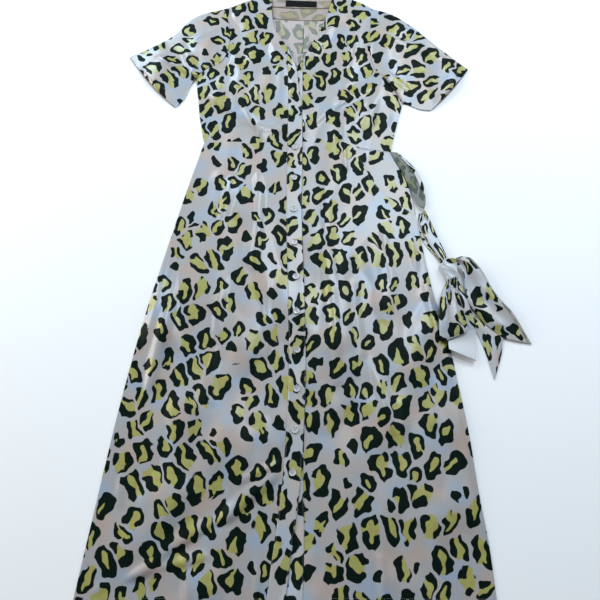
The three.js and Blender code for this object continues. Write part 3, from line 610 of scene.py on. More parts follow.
# x, y, to x, to y, rise, spread left of the line, spread right of it, bow; in the tables' millimetres
creases = [
    # down the bodice and towards the waist
    (-66, 352, -41, 262, 1.4, 9, 8, 0),
    (-83, 300, -30, 155, 1.6, 11, 18, 4),
    (-118, 104, -64, 4, 2.2, 20, 9, -3),
    (-70, 30, -22, 26, 1.6, 10, 12, 0),
    (-150, 250, -120, 120, 1.2, 14, 18, 6),
    (-190, 110, -120, 60, 1.3, 12, 16, 0),
    (75, 316, 30, 205, 1.4, 16, 10, -3),
    (30, 40, 168, 142, 2.4, 32, 11, 6),
    (43, 100, 110, 150, 0.9, 9, 10, 0),
    (120, 300, 104, 170, 1.2, 14, 12, 5),
    (176, 150, 150, 40, 1.3, 14, 12, -6),
    (196, 60, 172, 10, 1, 10, 10, 0),
    # tucks at the waist seam
    (-111, -4, -104, -54, 1.1, 7, 6, 0),
    (-41, -1, -40, -64, 0.9, 7, 6, 0),
    (49, 2, 54, -49, 1, 7, 6, 0),
    (95, 3, 101, -70, 1.2, 8, 6, 0),
    (-150, -6, -156, -60, 0.9, 8, 7, 0),
    (-75, 2, -70, 40, 0.8, 6, 6, 0),
    (100, 6, 96, 40, 0.8, 6, 6, 0),
    (140, -10, 150, -60, 0.9, 8, 6, 0),
    # down the skirt, and the flutes and slanting folds above the hem
    (-72, -70, -66, -270, 2.2, 15, 12, 5),
    (-118, -60, -150, -250, 2, 18, 14, 4),
    (-205, -250, -258, -600, 2.7, 16, 16, 8),
    (-262, -560, -262, -700, 1.8, 14, 12, 0),
    (-120, -300, -126, -520, 1.8, 16, 12, -6),
    (-40, -300, -34, -560, 1.2, 10, 9, 0),
    (-212, -790, -75, -702, 2.6, 24, 10, 5),
    (-92, -716, -2, -636, 2.3, 22, 11, 2),
    (-66, -652, -4, -620, 1.4, 10, 7, 0),
    (-290, -826, -120, -768, 2.7, 20, 9, 4),
    (-146, -772, -133, -845, 2.4, 12, 10, 0),
    (-36, -765, -28, -845, 2.4, 12, 10, 0),
    (113, -730, 121, -845, 2.4, 12, 10, 0),
    (160, -760, 164, -845, 2, 10, 9, 0),
    (96, -600, 112, -775, 2.4, 16, 11, 4),
    (60, -240, 88, -480, 2, 14, 11, 6),
    (118, -300, 132, -430, 1.7, 13, 10, 0),
    (150, -440, 178, -560, 2.2, 15, 11, 0),
    (196, -520, 214, -700, 2.1, 16, 12, -4),
    (240, -250, 288, -500, 1.8, 14, 12, 0),
    (288, -440, 326, -730, 2.4, 24, 12, 4),
    (60, -90, 64, -200, 1, 12, 9, 0),
    (170, -170, 190, -300, 1.8, 14, 11, 0),
    (222, -180, 236, -320, 1.7, 12, 10, 0),
    # on the sleeves and beside them
    (-294, 196, -225, 158, 2, 12, 9, 0),
    (-265, 252, -204, 118, 1.8, 16, 9, 5),
    (-172, 284, -230, 250, 1.2, 10, 10, 0),
    (214, 213, 276, 160, 1.4, 12, 10, 0),
    (184, 266, 300, 214, 1.3, 10, 12, 4),
    (176, 180, 252, 110, 1.2, 10, 10, 0),
]
unrest = [  # height in mm, then how many waves to the metre across and along, and where the noise is taken
    (8.0, 8.0, 4.5, 3.1),
    (8.0, 17.0, 9.0, 7.7),
    (1.8, 42.0, 25.0, 12.4),
]
lie = {
    "gain": 2.1,  # of every crease's rise
    "endFade": (0.12, 0.76),  # a crease begins and ends low
    "fadePower": 0.8,
    "outlineFade": 0.016,  # the folds die away to the side seams over this
    "turnDown": 0.0010,  # and the cloth turns down there
    "turnWidth": 0.008,
    "sink": 0.00082,
    "least": 0.00066,  # the underside's least height
    "backShare": 0.10,
    "backMost": 0.0003,
}
sideSeams = {"waist": -15, "hem": -815, "side": 176, "underarm": 150, "shoulder": 330, "neck": 60}


def foldField(points):
    x = (points[:, 0] - zeroX) * 1000
    y = (points[:, 1] - zeroY) * 1000
    total = np.zeros(len(points))
    for startX, startY, endX, endY, rise, left, right, bow in creases:
        runX, runY = endX - startX, endY - startY
        length = math.hypot(runX, runY)
        onward = ((x - startX) * runX + (y - startY) * runY) / length ** 2
        aside = ((y - startY) * runX - (x - startX) * runY) / length
        share = np.clip(onward, 0, 1)
        aside = aside - bow * np.sin(np.pi * share)
        beyond = (onward - share) * length
        reach = np.sqrt((aside / np.where(aside > 0, left, right)) ** 2 + (beyond / max(left, right)) ** 2)
        fade = np.sin(np.pi * ranged(lie["endFade"], share)) ** lie["fadePower"]
        total += lie["gain"] * rise * fade * np.clip(1 - reach ** 2, 0, 1) ** 2
    for height, across, along, seed in unrest:
        total += height * np.array([noise.noise(Vector((a * across / 1000 + seed, b * along / 1000, seed)))
                                    for a, b in zip(x, y)])
    return total / 1000


def isSide(x, y):  # the seams where front meets back, all but the waist, the neck and the armholes
    x, y = (x - zeroX) * 1000, (y - zeroY) * 1000
    if y < sideSeams["waist"]:
        return y > sideSeams["hem"]
    atSide = abs(x) > sideSeams["side"] and y < sideSeams["underarm"]
    return atSide or y > sideSeams["shoulder"] and abs(x) > sideSeams["neck"]


def roundedDown(share):  # 1 at an edge, falling to 0 along a quarter of a circle
    return 1 - np.sqrt(np.clip(1 - (1 - np.clip(share, 0, 1)) ** 2, 0, 1))


def settle(points, outline):  # the folds die away to the side seams, and the edges there turn down
    away = distancesTo(outline, points)
    field = foldField(points) * smoothShare(away / lie["outlineFade"])
    field -= lie["turnDown"] * roundedDown(away / lie["turnWidth"])
    points[:, 2] += np.maximum(field, -lie["sink"])
    return points


def roundRim(points, rim, depth, width):  # depth and width in mm
    points[:, 2] -= depth / 1000 * roundedDown(distancesTo(rim, points) * 1000 / width)
    return points


# The cut pieces of the dress

addCamera()
addLights()
printed = makePrinted("printedSatin", 0.0)
# the same print with painted light, for the bands and the belt
doubledWithPaintedLight = makePrinted("doubledSatinPaintedLight", satin["doubledPalerPaintedLight"])
wrongSide, facing, shadedSide = (makeFaded(name) for name in fadedCloths)
labelTape = makeLabel()
pearl = makePearl()
paleThread = makeThread()
print("materials made")


# One cut piece: its place and turn on the printed cloth, its flat size and area, and what it rests on
def cut(node, at, turn, flat, area, rests, **more):
    first, *others = node.split("_")
    name = first + "".join(word.capitalize() for word in others)
    return dict(more, node=node, name=name, cut=at, turn=turn, flat=flat, area=area, on=rests)


crispRim = (0.06, 0.7)  # how far a cut edge is rounded down, and over what width, in mm
panels = [
    cut("back_skirt", (0.61, 0.33), 1.0, (0.649, 0.84), 0.4456, ["floor"], faces="down"),
    cut("back_bodice_left", (1.43, 0.17), -2.0, (0.222, 0.394), 0.0692, ["floor"], faces="down"),
    cut("back_bodice_right", (1.92, 0.71), 2.0, (0.214, 0.405), 0.0641, ["floor"], faces="down"),
    cut("front_bodice_left", (0.12, 0.83), 3.0, (0.198, 0.394), 0.0549, ["backBodiceLeft"], rim=crispRim),
    cut("front_bodice_right", (2.37, 0.29), -4.0, (0.208, 0.405), 0.0581, ["backBodiceRight"],
        rim=crispRim),
    cut("front_skirt_left", (3.11, 1.27), 7.0, (0.318, 0.845), 0.215, ["backSkirt"], rim=crispRim),
    cut("front_skirt_right", (4.29, 0.58), -7.0, (0.325, 0.837), 0.2024, ["backSkirt", "pocketSidePiece"],
        rim=crispRim),
    cut("pocket_side_piece", (5.03, 0.41), -9.0, (0.137, 0.176), 0.0132, ["backSkirt"]),
    cut("button_band", (5.71, 0.93), 1.0, (0.031, 1.041), 0.0316, ["frontSkirtRight", "frontBodiceRight"],
        cloth="doubledWithPaintedLight"),
    cut("buttonhole_band", (6.37, 1.39), 2.0, (0.03, 1.075), 0.0314, ["buttonBand"],
        cloth="doubledWithPaintedLight", withPieces=["buttonholes", "seamStitches"]),
    cut("neck_facing", (7.13, 0.22), 88.0, (0.135, 0.077), 0.0079, ["backBodiceLeft", "backBodiceRight"],
        cloth="facing"),
    cut("neck_band", (7.77, 0.61), 86.0, (0.135, 0.044), 0.0038, ["neckFacing"], cloth="facing"),
    cut("neck_label", (0.0, 0.0), 0.0, (0.068, 0.0165), 0.0011, ["neckBand"],
        cloth="label", levels=4, wall=0.4, rim=(0.3, 1.0)),
    cut("centre_back_allowance", (8.21, 0.35), 4.0, (0.0112, 0.087), 0.00095, ["backBodiceLeft"],
        cloth="inside", levels=4, wall=0.4),
]
usual = {"faces": "up", "levels": 3, "wall": 0.6, "cloth": "single", "rim": (0.30, 1.5)}
cloths = {  # the slot, then the outside and the inside
    "single": ("printed_cloth", printed, wrongSide),
    "doubledWithPaintedLight": ("printed_cloth", doubledWithPaintedLight, doubledWithPaintedLight),
    "facing": ("facing_cloth", facing, facing),
    "label": ("label", labelTape, labelTape),
    "inside": ("wrong_side", wrongSide, wrongSide),
}
drawUp = {"by": 0.00024, "below": 0.040, "over": 0.010}  # the skirt fronts, close up to the waist seam
made = {}


def openShell(row):  # one face of the solid, as a smooth sheet with no thickness yet
    piece = mergedCopy(row["node"], row["name"])
    keepFaces(piece, lambda polygon: polygon.normal.z < -0.5)
    with editing(piece):
        makeQuads()
        if row["faces"] == "up":
            bpy.ops.mesh.flip_normals()
    sharpenCorners(piece)
    applyModifier(piece, "SUBSURF", levels=row["levels"], render_levels=row["levels"])
    return piece


def giveWall(piece, thickness, offset, outside, inside):
    for material in (outside, inside):  # there before the wall is, which gives the inside the second one
        piece.data.materials.append(material)
    applyModifier(piece, "SOLIDIFY", thickness=thickness / 1000, offset=offset, use_rim=True,
                  material_offset=1, material_offset_rim=0)


def layPanel(row, outline):
    piece = made[row["name"]]
    slot, outside, inside = cloths[row["cloth"]]
    points = pointsOf(piece)
    addUv(piece, cutRows(points, row["cut"], row["turn"]))
    if row["node"].startswith("front_skirt"):
        points[:, 1] += drawUp["by"] * smoothShare((points[:, 1] - zeroY + drawUp["below"]) / drawUp["over"])
    rim = rimFinder(piece, points)
    if row["faces"] == "up":
        points = settle(points, outline)
        points = roundRim(points, rim, *row["rim"])
        points[:, 2] = np.maximum(points[:, 2], lie["least"])
    else:  # the back lies on the floor and lifts only a little under the folds
        away = smoothShare(distancesTo(outline, points) / lie["outlineFade"])
        points[:, 2] += np.clip(foldField(points) * away * lie["backShare"], 0, lie["backMost"])
    setPoints(piece, points)
    giveWall(piece, row["wall"], 1 if row["faces"] == "up" else -1, outside, inside)
    finishPiece(piece, row["node"])
    if row["node"].startswith("front_"):  # crisp at the cut edge, so that a seam is only a fine line
        crispEdges(piece)


def sideOutline():  # the side seams, found on the backs before any fold is laid
    found = []
    for name in ("backSkirt", "backBodiceLeft", "backBodiceRight"):
        points = pointsOf(made[name])
        for edge in rimEdges(made[name]):
            found += [points[vertex] for vertex in edge if isSide(*points[vertex][:2])]
    return finderOf(found)


for row in panels:
    row.update({key: value for key, value in usual.items() if key not in row})
    made[row["name"]] = openShell(row)
outline = sideOutline()
for row in panels:
    layPanel(row, outline)
print("panels laid")

# Sleeves

sleeves = [  # their flat sizes are all round the tube, by its length
    cut("sleeve_left", (9.13, 0.47), 38.0, (0.477, 0.167), 0.0564, ["floor"]),
    cut("sleeve_right", (9.91, 1.03), -40.0, (0.536, 0.162), 0.0641, ["floor"]),
]
tube = {
    "overFaces": 0.002,  # the upper layer's outer face is above this, and the under layer's below the next
    "underFaces": 0.0004,
    "underPoints": 0.0012,
    "underShift": 0.31,  # from the upper layer's place on the flat cloth to the under layer's
    "foldFrom": 0.0013,  # the folds come in between this height and as much again above it as the next says
    "foldOver": 0.0012,
    "rimWidth": 0.006,
    "rimShare": 0.35,
    "sink": 0.0004,
    "wall": 0.5,
}


def laySleeve(row):
    piece = mergedCopy(row["node"], row["name"])
    outer = set()
    for polygon in piece.data.polygons:
        over = polygon.normal.z > 0.5 and polygon.center.z > tube["overFaces"]
        under = polygon.normal.z < -0.5 and polygon.center.z < tube["underFaces"]
        if over or under:
            outer.update(polygon.vertices)
    keepFaces(piece, lambda polygon: all(vertex in outer for vertex in polygon.vertices))
    with editing(piece):
        makeQuads()
    applyModifier(piece, "SUBSURF", levels=3, render_levels=3)
    points = pointsOf(piece)
    rows = cutRows(points, row["cut"], row["turn"])
    rows[points[:, 2] < tube["underPoints"], 0] += tube["underShift"]
    addUv(piece, rows)
    rim = rimFinder(piece, points)
    top = np.clip((points[:, 2] - tube["foldFrom"]) / tube["foldOver"], 0, 1)
    inner = smoothShare(distancesTo(rim, points) / tube["rimWidth"] + tube["rimShare"])
    points[:, 2] += top * inner * np.maximum(foldField(points), -tube["sink"])
    setPoints(piece, points)
    giveWall(piece, tube["wall"], -1, printed, wrongSide)
    points = pointsOf(piece)
    points[:, 2] = np.maximum(points[:, 2], 0)
    setPoints(piece, points)
    finishPiece(piece, row["node"])
    crispEdges(piece)
    return piece


for row in sleeves:
    made[row["name"]] = laySleeve(row)
print("sleeves laid")


# The belt: a strip of the printed cloth, gathered, turned over and knotted

def smoothTable(rows, shares):  # a smooth curve through the rows, at each share of its length
    rows = np.asarray(rows, dtype=float)
    padded = np.vstack([2 * rows[0] - rows[1], rows, 2 * rows[-1] - rows[-2]])
    steps = sum(np.linalg.norm(np.diff(rim, axis=0), axis=1) for rim in (rows[:, :3], rows[:, 3:]))
    knots = np.concatenate([[0], np.cumsum(steps)])
    at = np.interp(np.asarray(shares) * knots[-1], knots, np.arange(len(rows)))
    first = np.clip(at.astype(int), 0, len(rows) - 2)
    t = (at - first)[:, None]
    a, b, c, d = (padded[first + i] for i in range(4))
    square, cube = 2 * a - 5 * b + 4 * c - d, 3 * b - a - 3 * c + d
    return 0.5 * (2 * b + (c - a) * t + square * t ** 2 + cube * t ** 3)


turnedRim = {"edgeRise": 0.55, "heelWidth": 0.16, "heelRise": 0.6}  # as shares of the rim's own rise


def foldedRim(across, side, width, rise):  # where each line lies, and how high, when one rim is turned over
    over = (1 - across) if side == "b" else across
    start = width / (1 + width)
    turned = over < start
    place = np.where(turned, width * (1 - over / start), (over - start) / (1 - start))
    onRim = rise * (turnedRim["edgeRise"] + (1 - turnedRim["edgeRise"]) * over / start)
    atHeel = rise * turnedRim["heelRise"] * np.clip(1 - place / turnedRim["heelWidth"], 0, 1) ** 2
    lift = np.where(turned, onRim, atHeel)
    return (1 - place if side == "b" else place), lift


def startGrid(name, columns, lines):  # a flat grid, with how far across and onward each point is
    piece = added(bpy.ops.mesh.primitive_grid_add, x_subdivisions=columns, y_subdivisions=lines, size=1.0)
    piece.name = name
    points = pointsOf(piece)
    return piece, points[:, 0] + 0.5, points[:, 1] + 0.5


def between(value, start, end, soft):  # 1 from start to end, fading over the soft stretches
    return smoothShare((value - start) / soft) * smoothShare((end - value) / soft)


def leaveBare(piece, shares):
    piece.data.attributes.new("bare", "FLOAT", "POINT").data.foreach_set("value", shares)


ribbon = {"wall": 0.45, "pleatSoft": 0.16, "pleatSway": 0.06, "swayTurns": 7, "bareSoft": 0.01,
          "unrestAcross": 0.045, "unrestAlong": 0.030}


def layRibbon(row):
    piece, across, onward = startGrid(row["name"], *row["grid"])
    edges = smoothTable(row["rows"], onward)
    share, lift = across.copy(), np.zeros(len(across))
    for side, width, rise, start, end, soft in row.get("rims", []):
        strength = between(onward, start, end, soft)
        toPlace, toLift = foldedRim(across, side, width, rise)
        share += (toPlace - across) * strength
        lift += toLift * strength
    for waves, depth, phase, start, end, lean in row.get("pleats", []):
        sway = ribbon["pleatSway"] * np.sin(ribbon["swayTurns"] * onward + phase)
        wave = np.cos(2 * np.pi * (waves * (across + sway) + lean * onward) + phase)
        lift += depth * (wave * 0.5 + 0.5) * between(onward, start, end, ribbon["pleatSoft"])
    lift += row.get("arch", 0) * 4 * share * (1 - share)
    shaped = edges[:, :3] * (1 - share[:, None]) + edges[:, 3:] * share[:, None]
    for i, (x, y, _) in enumerate(shaped):
        spot = Vector((x * ribbon["unrestAcross"], y * ribbon["unrestAlong"], row["seed"]))
        lift[i] += row.get("unrest", 0.5) * noise.noise(spot)
    shaped[:, 2] = np.maximum(shaped[:, 2] + lift, row.get("least", 0.1))
    flat = np.stack([(across - 0.5) * row["width"], onward * row["length"]], 1) / 1000
    addUv(piece, cutRows(flat, row["cut"], row["turn"]))
    if "bare" in row:
        leaveBare(piece, between(onward, *row["bare"], ribbon["bareSoft"]))
    setPoints(piece, shaped / 1000 + np.array([zeroX, zeroY, 0]))
    # the strands' inside is the copy with painted shade
    giveWall(piece, ribbon["wall"], -1, doubledWithPaintedLight, shadedSide if "strand" in row["node"] else wrongSide)
    return finishPiece(piece, row["node"])


# `rows` are sections of the strip: one rim's x, y, z, then the other's, in the tables' millimetres
# `rims` are turned over: side, width, rise, and where they start, end and how softly, as shares of the length
# `pleats`: waves, depth, phase, start, end, lean
belt = [
    cut("belt_strand_upper", (11.3, 0.2), 4, (0.028, 0.262), 0.0065, ["beltStrandLower", "floor"],
        held="folded", grid=(24, 150), width=50, length=262, seed=1.3, least=1.3,
        rims=[("b", 0.3, 2.6, -0.2, 0.44, 0.1)], arch=0.8,
        rows=[(188, -16, 3.0, 204, -19, 2.6), (211, -62, 3.0, 239, -58, 3.4),
              (227, -104, 3.0, 253, -98, 4.0), (237, -134, 4.5, 253.5, -130, 6.5),
              (250, -148, 10.5, 249, -148, 2.8), (262, -168, 4.2, 242, -172, 3.2),
              (274, -201, 4.6, 254, -208, 3.4), (286, -232, 6.6, 270, -236, 5.6),
              (295, -254, 8.6, 281, -259, 8.4)]),
    cut("belt_strand_lower", (11.9, 0.5), -8, (0.02, 0.124), 0.0022, ["floor"],
        held="folded", grid=(14, 90), width=34, length=124, seed=2.9, unrest=0.2,
        rows=[(251, -148, 0.9, 241, -151, 0.7), (257, -172, 0.9, 239, -180, 0.7),
              (267, -204, 0.9, 248, -212, 0.7), (283, -234, 3.2, 268, -238, 3.1),
              (293, -255, 5.4, 281, -259, 5.4)]),
    cut("belt_tail_upper", (12.83, 1.71), -28, (0.062, 0.203), 0.01, ["beltTailLower", "floor"],
        held="laid", grid=(60, 130), width=66, length=215, seed=4.1, least=0.3, unrest=1.6, arch=1.5,
        rims=[("a", 0.09, 1.3, 0.1, 1.4, 0.06)], pleats=[(1.5, 3.6, 2.6, -0.2, 0.92, 0.5)],
        rows=[(301, -248, 12.5, 301, -260, 11.8), (315, -242.5, 12.5, 311, -264, 10.0),
              (331, -246, 12, 317, -280, 6.5), (352, -272, 10, 318, -303, 3.6),
              (367, -304, 7.8, 323, -330, 3.4), (385, -330, 6, 338, -352, 3.6),
              (404, -353, 4.2, 356, -373, 3.4), (431, -403, 0.7, 381, -394, 2.4)]),
    cut("belt_tail_lower", (13.1, 0.3), -20, (0.048, 0.197), 0.0064, ["floor"],
        held="laid", grid=(44, 110), width=48, length=195, seed=5.7, unrest=0.3,
        pleats=[(1.0, 1.8, 2.0, 0.45, 0.98, 0.3)],
        rows=[(304, -283, 4.7, 291, -287, 4.7), (327, -319, 1.0, 298, -331, 0.7),
              (349, -346, 0.9, 312, -356, 0.7), (369, -369, 1.6, 334, -382, 0.7),
              (381, -390, 1.8, 348, -418, 0.7), (377, -424, 1.2, 361, -470, 0.6)]),
    cut("belt_loop_upper", (13.37, 2.13), 6, (0.048, 0.256), 0.012, ["beltLoopLower"],
        held="folded", grid=(60, 210), width=62, length=270, seed=7.3, least=9.6, unrest=0.8,
        pleats=[(2.3, 4.0, 0.4, -0.3, 0.5, 0.3), (4.6, 1.3, 2.4, -0.3, 0.48, -0.8),
                (3.2, 1.0, 0.4, 0.5, 1.3, 0.2)],
        rows=[(301, -284, 12.0, 288, -288, 12.0), (302, -312, 13.0, 274, -314, 14.6),
              (309, -346, 13.5, 267, -358, 16.0), (316, -374, 14.0, 267, -396, 14.8),
              (317, -386, 12.8, 270, -407, 13.0), (315, -382, 11.2, 270, -404, 11.2),
              (312, -348, 10.8, 269, -361, 10.8), (306, -318, 10.6, 275, -317, 10.6),
              (303, -285, 10.2, 290, -288, 10.2)]),
    cut("belt_loop_lower", (14.5, 0.6), 11, (0.048, 0.318), 0.015, ["floor"],
        # the end of the lower loop is plain, with a painted highlight
        held="folded", grid=(60, 230), width=60, length=320, bare=(0.335, 0.56), seed=8.9, least=3.7,
        unrest=0.5, pleats=[(2.6, 2.0, 1.4, -0.3, 0.36, 0.3)],
        rows=[(305, -284, 8.0, 290, -288, 8.0), (319, -318, 6.9, 283, -322, 7.0),
              (331, -366, 6.6, 281, -372, 7.4), (332, -402, 4.9, 282, -400, 9.0),
              (329, -436, 8.6, 283, -419, 11.8), (329, -433, 6.6, 285, -415, 9.0),
              (332, -400, 4.0, 284, -396, 4.4), (331, -366, 4.2, 283, -371, 4.2),
              (317, -318, 4.6, 285, -322, 4.6), (304, -285, 5.6, 291, -288, 5.6)]),
]
for row in belt:
    made[row["name"]] = layRibbon(row)

knot = {
    "x": 292.5, "y": -269, "heading": -76, "length": 41, "grid": (88, 48), "wall": 0.6,
    "halfWidth": 17.0, "halfHeight": 9.0, "middle": 10.4, "least": 0.15,
    "boxiness": 0.85,  # below 1 the section is nearer to a rectangle
    "bulge": 1.5, "slack": 1.0, "sideSwell": 0.8,
    "endsFrom": 0.80, "endsDraw": 0.34,  # the ends curl in towards the strands
    "taper": 0.36,  # and it narrows towards the loops
    "wraps": ((1, 1.5, 0.4, 0.96), (2, 1.7, 2.3, 1.04), (3, 1.5, 4.4, 0.72)),  # waves, slant, phase, depth
    "pinch": 0.75,
    "bareOnward": (0.26, 0.05), "bareTurn": (4.2, 0.2),  # its face is plain, with a painted highlight
    "cut": (15.3, 0.33), "clothRound": 0.0135, "clothAlong": 0.045, "clothSlant": 0.004,
    "flat": (0.084, 0.044), "area": 0.0034,
}


def tieKnot():
    piece, across, onward = startGrid("beltKnot", *knot["grid"])
    turn = across * 2 * np.pi
    endward = np.clip((np.abs(onward - 0.5) * 2 - knot["endsFrom"]) / (1 - knot["endsFrom"]), 0, 1)
    draw = (1 - knot["endsDraw"] * endward ** 2) * (1 - knot["taper"] * smoothShare(onward))
    swell = knot["bulge"] * np.cos(np.pi * (onward - 0.5)) - knot["slack"]
    for waves, slant, phase, depth in knot["wraps"]:
        crossing = np.cos(waves * turn + slant * np.pi * onward + phase)
        swell += depth * (1 - 2 * np.abs(crossing) ** knot["pinch"])

    def boxy(wave):
        return np.sign(wave) * np.abs(wave) ** knot["boxiness"] * draw

    over = (knot["halfWidth"] + swell * knot["sideSwell"]) * boxy(np.cos(turn))
    up = (knot["halfHeight"] + swell) * boxy(np.sin(turn))
    run = (onward - 0.5) * knot["length"]
    heading = math.radians(knot["heading"])
    x = knot["x"] + math.cos(heading) * run - math.sin(heading) * over
    y = knot["y"] + math.sin(heading) * run + math.cos(heading) * over
    z = np.maximum(knot["middle"] + up, knot["least"])
    (start, softStart), (end, softEnd) = knot["bareOnward"], knot["bareTurn"]
    leaveBare(piece, smoothShare((onward - start) / softStart) * smoothShare((end - turn) / softEnd))
    flatX = turn * knot["clothRound"] + knot["cut"][0]
    flatY = onward * knot["clothAlong"] + turn * knot["clothSlant"] + knot["cut"][1]
    addUv(piece, np.stack([flatX, flatY], 1))
    setPoints(piece, np.stack([x, y, z], 1) / 1000 + np.array([zeroX, zeroY, 0]))
    with editing(piece):
        bpy.ops.mesh.remove_doubles(threshold=0.00001)
        bpy.ops.mesh.normals_make_consistent(inside=False)
    giveWall(piece, knot["wall"], -1, doubledWithPaintedLight, wrongSide)
    return finishPiece(piece, "belt_knot")


made["beltKnot"] = tieKnot()
print("belt tied")


# Buttons, buttonholes and sewing

button = {
    "radius": 6.0, "depth": 2.3, "dish": 0.75, "rimWidth": 1.3, "lift": 0.25,
    "holeRadius": 0.62, "holeSpacing": 1.35,
    "threadRadius": 0.34, "threadStretch": (1.5, 4.3, 1.0),
    "spin": 2.4,  # each is sewn on turned by this much more than the last
}
buttonNames = ["button_%d" % number for number in range(1, 11)]


def turnedProfile(name, profile, steps):  # a profile of (radius, height) in mm, spun round Z
    mesh = bpy.data.meshes.new(name)
    mesh.from_pydata([(radius / 1000, 0, height / 1000) for radius, height in profile],
                     [(i, i + 1) for i in range(len(profile) - 1)], [])
    piece = linked(name, mesh)
    with editing(piece):
        bpy.ops.mesh.spin(steps=steps, angle=2 * math.pi, center=(0, 0, 0), axis=(0, 0, 1))
        bpy.ops.mesh.select_all(action="SELECT")
        bpy.ops.mesh.remove_doubles(threshold=0.000005)
        bpy.ops.mesh.normals_make_consistent(inside=False)
    return piece


def drillHoles(piece, spacing):
    for turn in range(4):
        angle = math.radians(45 + 90 * turn)
        drill = added(bpy.ops.mesh.primitive_cylinder_add, vertices=14, radius=button["holeRadius"] / 1000,
                      depth=0.01, location=(spacing * math.cos(angle), spacing * math.sin(angle), 0))
        applyModifier(piece, "BOOLEAN", operation="DIFFERENCE", solver="EXACT", object=drill)
        bpy.data.objects.remove(drill)


def threadBar(x, z):  # from one hole to the next
    bar = added(bpy.ops.mesh.primitive_uv_sphere_add, segments=12, ring_count=8,
                radius=button["threadRadius"] / 1000, location=(x, 0, z))
    with editing(bar):
        bpy.ops.transform.resize(value=button["threadStretch"])
    bpy.ops.object.transform_apply(location=True, rotation=True, scale=True)
    bar.data.materials.append(paleThread)
    bar.data.polygons.foreach_set("use_smooth", [True] * len(bar.data.polygons))
    return bar


def makeButton():
    top, radius = button["depth"], button["radius"]
    rim, floor = radius - button["rimWidth"], top - button["dish"]
    piece = turnedProfile("buttonPattern", [
        (0, 0), (radius - 1.0, 0), (radius - 0.35, 0.25), (radius - 0.05, 0.8), (radius, 1.25),
        (radius - 0.1, 1.75), (radius - 0.4, top - 0.1), (radius - 0.75, top), (radius - 1.05, top - 0.08),
        (rim, top - 0.42), (rim - 0.35, floor), (rim - 1.0, floor - 0.1), (1.0, floor - 0.1),
        (0, floor - 0.1)], 40)
    spacing = button["holeSpacing"] / 1000
    drillHoles(piece, spacing)
    piece.data.materials.append(pearl)
    piece.data.materials.append(paleThread)
    reach = spacing * math.cos(math.radians(45))
    bars = [threadBar(side * reach, floor / 1000) for side in (-1, 1)]
    takeUp(piece)
    for bar in bars:
        bar.select_set(True)
    bpy.ops.object.join()
    return piece


def levelOf(surface, x, y):  # the height and the slope of the cloth under a point
    hit, normal, _, _ = surface.ray_cast(Vector((x, y, 0.1)), Vector((0, 0, -1)))
    return (hit, normal if normal.z > 0 else -normal) if hit is not None else (None, None)


def sewButtons():
    pattern = makeButton()
    band = surfaceOf(made["buttonholeBand"])
    for number, node in enumerate(buttonNames):
        low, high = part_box(node)
        middle = (low + high) / 2
        hit, normal = levelOf(band, middle.x, middle.y)
        piece = linked("pearlButton%d" % (number + 1), pattern.data.copy())
        lean = Vector((0, 0, 1)).rotation_difference(normal).to_matrix().to_4x4()
        lean.translation = hit + normal * button["lift"] / 1000
        heading = Vector((math.cos(number * button["spin"]), math.sin(number * button["spin"]), 0))
        piece.data.transform(lean @ heading.to_track_quat("X", "Z").to_matrix().to_4x4())
        finishPiece(piece, node)
        crispEdges(piece, 40)
    bpy.data.objects.remove(pattern)


def takeMesh(part):  # the points and faces of a primitive that doesn't stay
    points = pointsOf(part)
    faces = [tuple(polygon.vertices) for polygon in part.data.polygons]
    bpy.data.objects.remove(part)
    return points, faces


def joinCopies(name, points, faces, places):  # places: middle, direction, up
    allPoints, allFaces = [], []
    for middle, along, up in places:
        side = up.cross(along).normalized()
        along = side.cross(up).normalized()
        start = len(allPoints) * len(points)
        allPoints.append(points @ np.array([along, side, up]) + np.array(middle))
        allFaces += [tuple(vertex + start for vertex in face) for face in faces]
    mesh = bpy.data.meshes.new(name)
    mesh.from_pydata(np.vstack(allPoints).tolist(), [], allFaces)
    piece = linked(name, mesh)
    piece.data.materials.append(paleThread)
    finishPiece(piece, None)


def evenSteps(line, pitch):  # points a pitch apart along a line of (x, y) in mm, with the direction at each
    line = np.array(line, dtype=float)
    total = np.concatenate([[0], np.cumsum(np.linalg.norm(np.diff(line, axis=0), axis=1))])

    def spots(at):
        return np.stack([np.interp(at, total, line[:, 0]), np.interp(at, total, line[:, 1])], 1)

    at = np.arange(pitch / 2, total[-1], pitch)
    return zip(spots(at), spots(at + 0.5) - spots(at - 0.5))


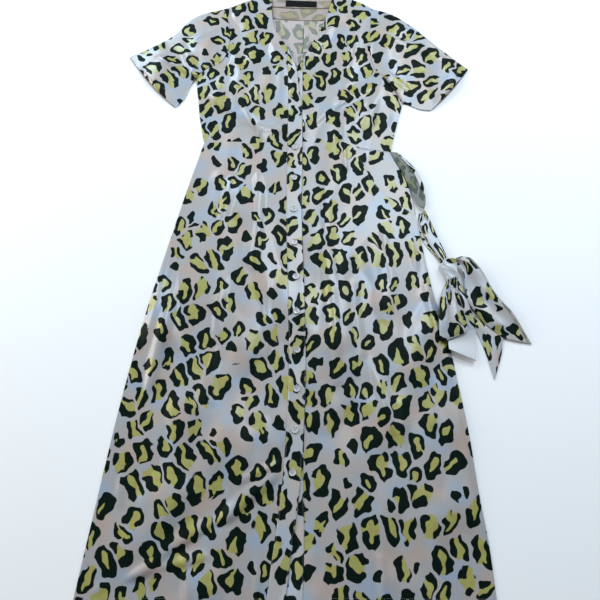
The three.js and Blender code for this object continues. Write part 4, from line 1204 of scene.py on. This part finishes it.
# Down the front, in mm: y, then the x of the buttonhole band's left edge and of the button band's right edge
bandEdges = [
    (232, -25, 7), (128, -20, 10), (0, -16, 14), (-150, -13, 17), (-220, -9, 21), (-290, -4, 26),
    (-361, 0, 30), (-425, 3.5, 33), (-494, 5, 35), (-562, 4.5, 35), (-635, 3, 35.5), (-709, -3.5, 39.5),
    (-768, -10, 41), (-838, -17.5, 41),
]
sewing = {"pitch": 3.1, "long": 2.2, "thick": 0.42, "high": 0.34, "sink": 0.05,
          "bandWidth": 29.5, "fromLeft": 1.9, "fromRight": 2.0, "fromLower": 1.8}
fromRight = sewing["bandWidth"] - sewing["fromRight"]
seamLines = [  # the piece that a line of sewing lies on, then its points
    ("buttonholeBand", [(over + sewing["fromLeft"], y) for y, over, _ in bandEdges if y < 230]),
    ("buttonholeBand", [(over + fromRight, y) for y, over, _ in bandEdges if y < 200]),
    ("buttonBand", [(under - sewing["fromLower"], y) for y, _, under in bandEdges if y < -600]),
    ("frontSkirtLeft", [(-299, -832), (-150, -827), (-24, -823)]),  # the hems
    ("frontSkirtRight", [(46, -820), (200, -815), (331, -812)]),
    ("frontSkirtRight", [(230, -156.5), (195.5, -132.5), (149.5, -86), (119.5, -13)]),  # the pocket mouth
    ("frontBodiceLeft", [(-45, 258), (-61.5, 287), (-66.5, 320), (-69.5, 362), (-73, 382)]),
    ("frontBodiceRight", [(17, 218), (25, 232), (39.5, 262), (53.5, 295), (64.5, 336), (75, 384)]),
    ("sleeveLeft", [(-243, 88), (-266, 108), (-304, 149), (-346, 203)]),
    ("sleeveRight", [(270, 96), (284, 112), (319, 156), (345, 197)]),
    ("neckBand", [(-62, 352), (-30, 345), (0, 344), (30, 345), (60, 353)]),
]


def sewLines():
    ball, faces = takeMesh(added(bpy.ops.mesh.primitive_uv_sphere_add, segments=6, ring_count=4, radius=0.5))
    stitch = ball * np.array([sewing["long"], sewing["thick"], sewing["high"]]) / 1000
    places = []
    for name, line in seamLines:
        surface = surfaceOf(made[name])
        for (x, y), direction in evenSteps(line, sewing["pitch"]):
            spot = place(x, y)
            hit, normal = levelOf(surface, spot.x, spot.y)
            if hit is not None:
                places.append((hit - normal * sewing["sink"] / 1000, Vector((*direction, 0)), normal))
    print("  stitches", len(places))
    joinCopies("seamStitches", stitch, faces, places)


buttonhole = {"halfLength": 6.6, "halfWidth": 0.75, "thick": 2.6, "high": 1.6, "lift": 0.06, "above": 1.1,
              "along": (0.03, 1, 0)}


def cutButtonholes():  # each is a long ring of thread
    ring, faces = takeMesh(added(bpy.ops.mesh.primitive_torus_add, major_segments=30, minor_segments=6,
                                 major_radius=1.0, minor_radius=0.2))
    radius = np.hypot(ring[:, 0], ring[:, 1])[:, None]
    halves = np.array([buttonhole["halfLength"], buttonhole["halfWidth"]])
    reach = halves + (radius - 1.0) * buttonhole["thick"]
    shape = np.hstack([ring[:, :2] / radius * reach, ring[:, 2:] * buttonhole["high"]]) / 1000
    band = surfaceOf(made["buttonholeBand"])
    places = []
    for node in buttonNames:
        low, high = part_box(node)
        middle = (low + high) / 2
        hit, normal = levelOf(band, middle.x, middle.y + buttonhole["above"] / 1000)
        places.append((hit + normal * buttonhole["lift"] / 1000, Vector(buttonhole["along"]), normal))
    joinCopies("buttonholes", shape, faces, places)


sewButtons()
sewLines()
cutButtonholes()
print("buttons and sewing done")


# A loop over every sheet, which does nothing

for row in panels + sleeves + belt:
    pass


def layFloor():  # just under the cloth
    floor = added(bpy.ops.mesh.primitive_plane_add, size=14.0, location=(0, 0, -0.0004))
    floor.name = "floor"
    floor.data.materials.append(makeFloor())


layFloor()
bpy.context.scene.view_settings.view_transform = "Standard"

print("done")
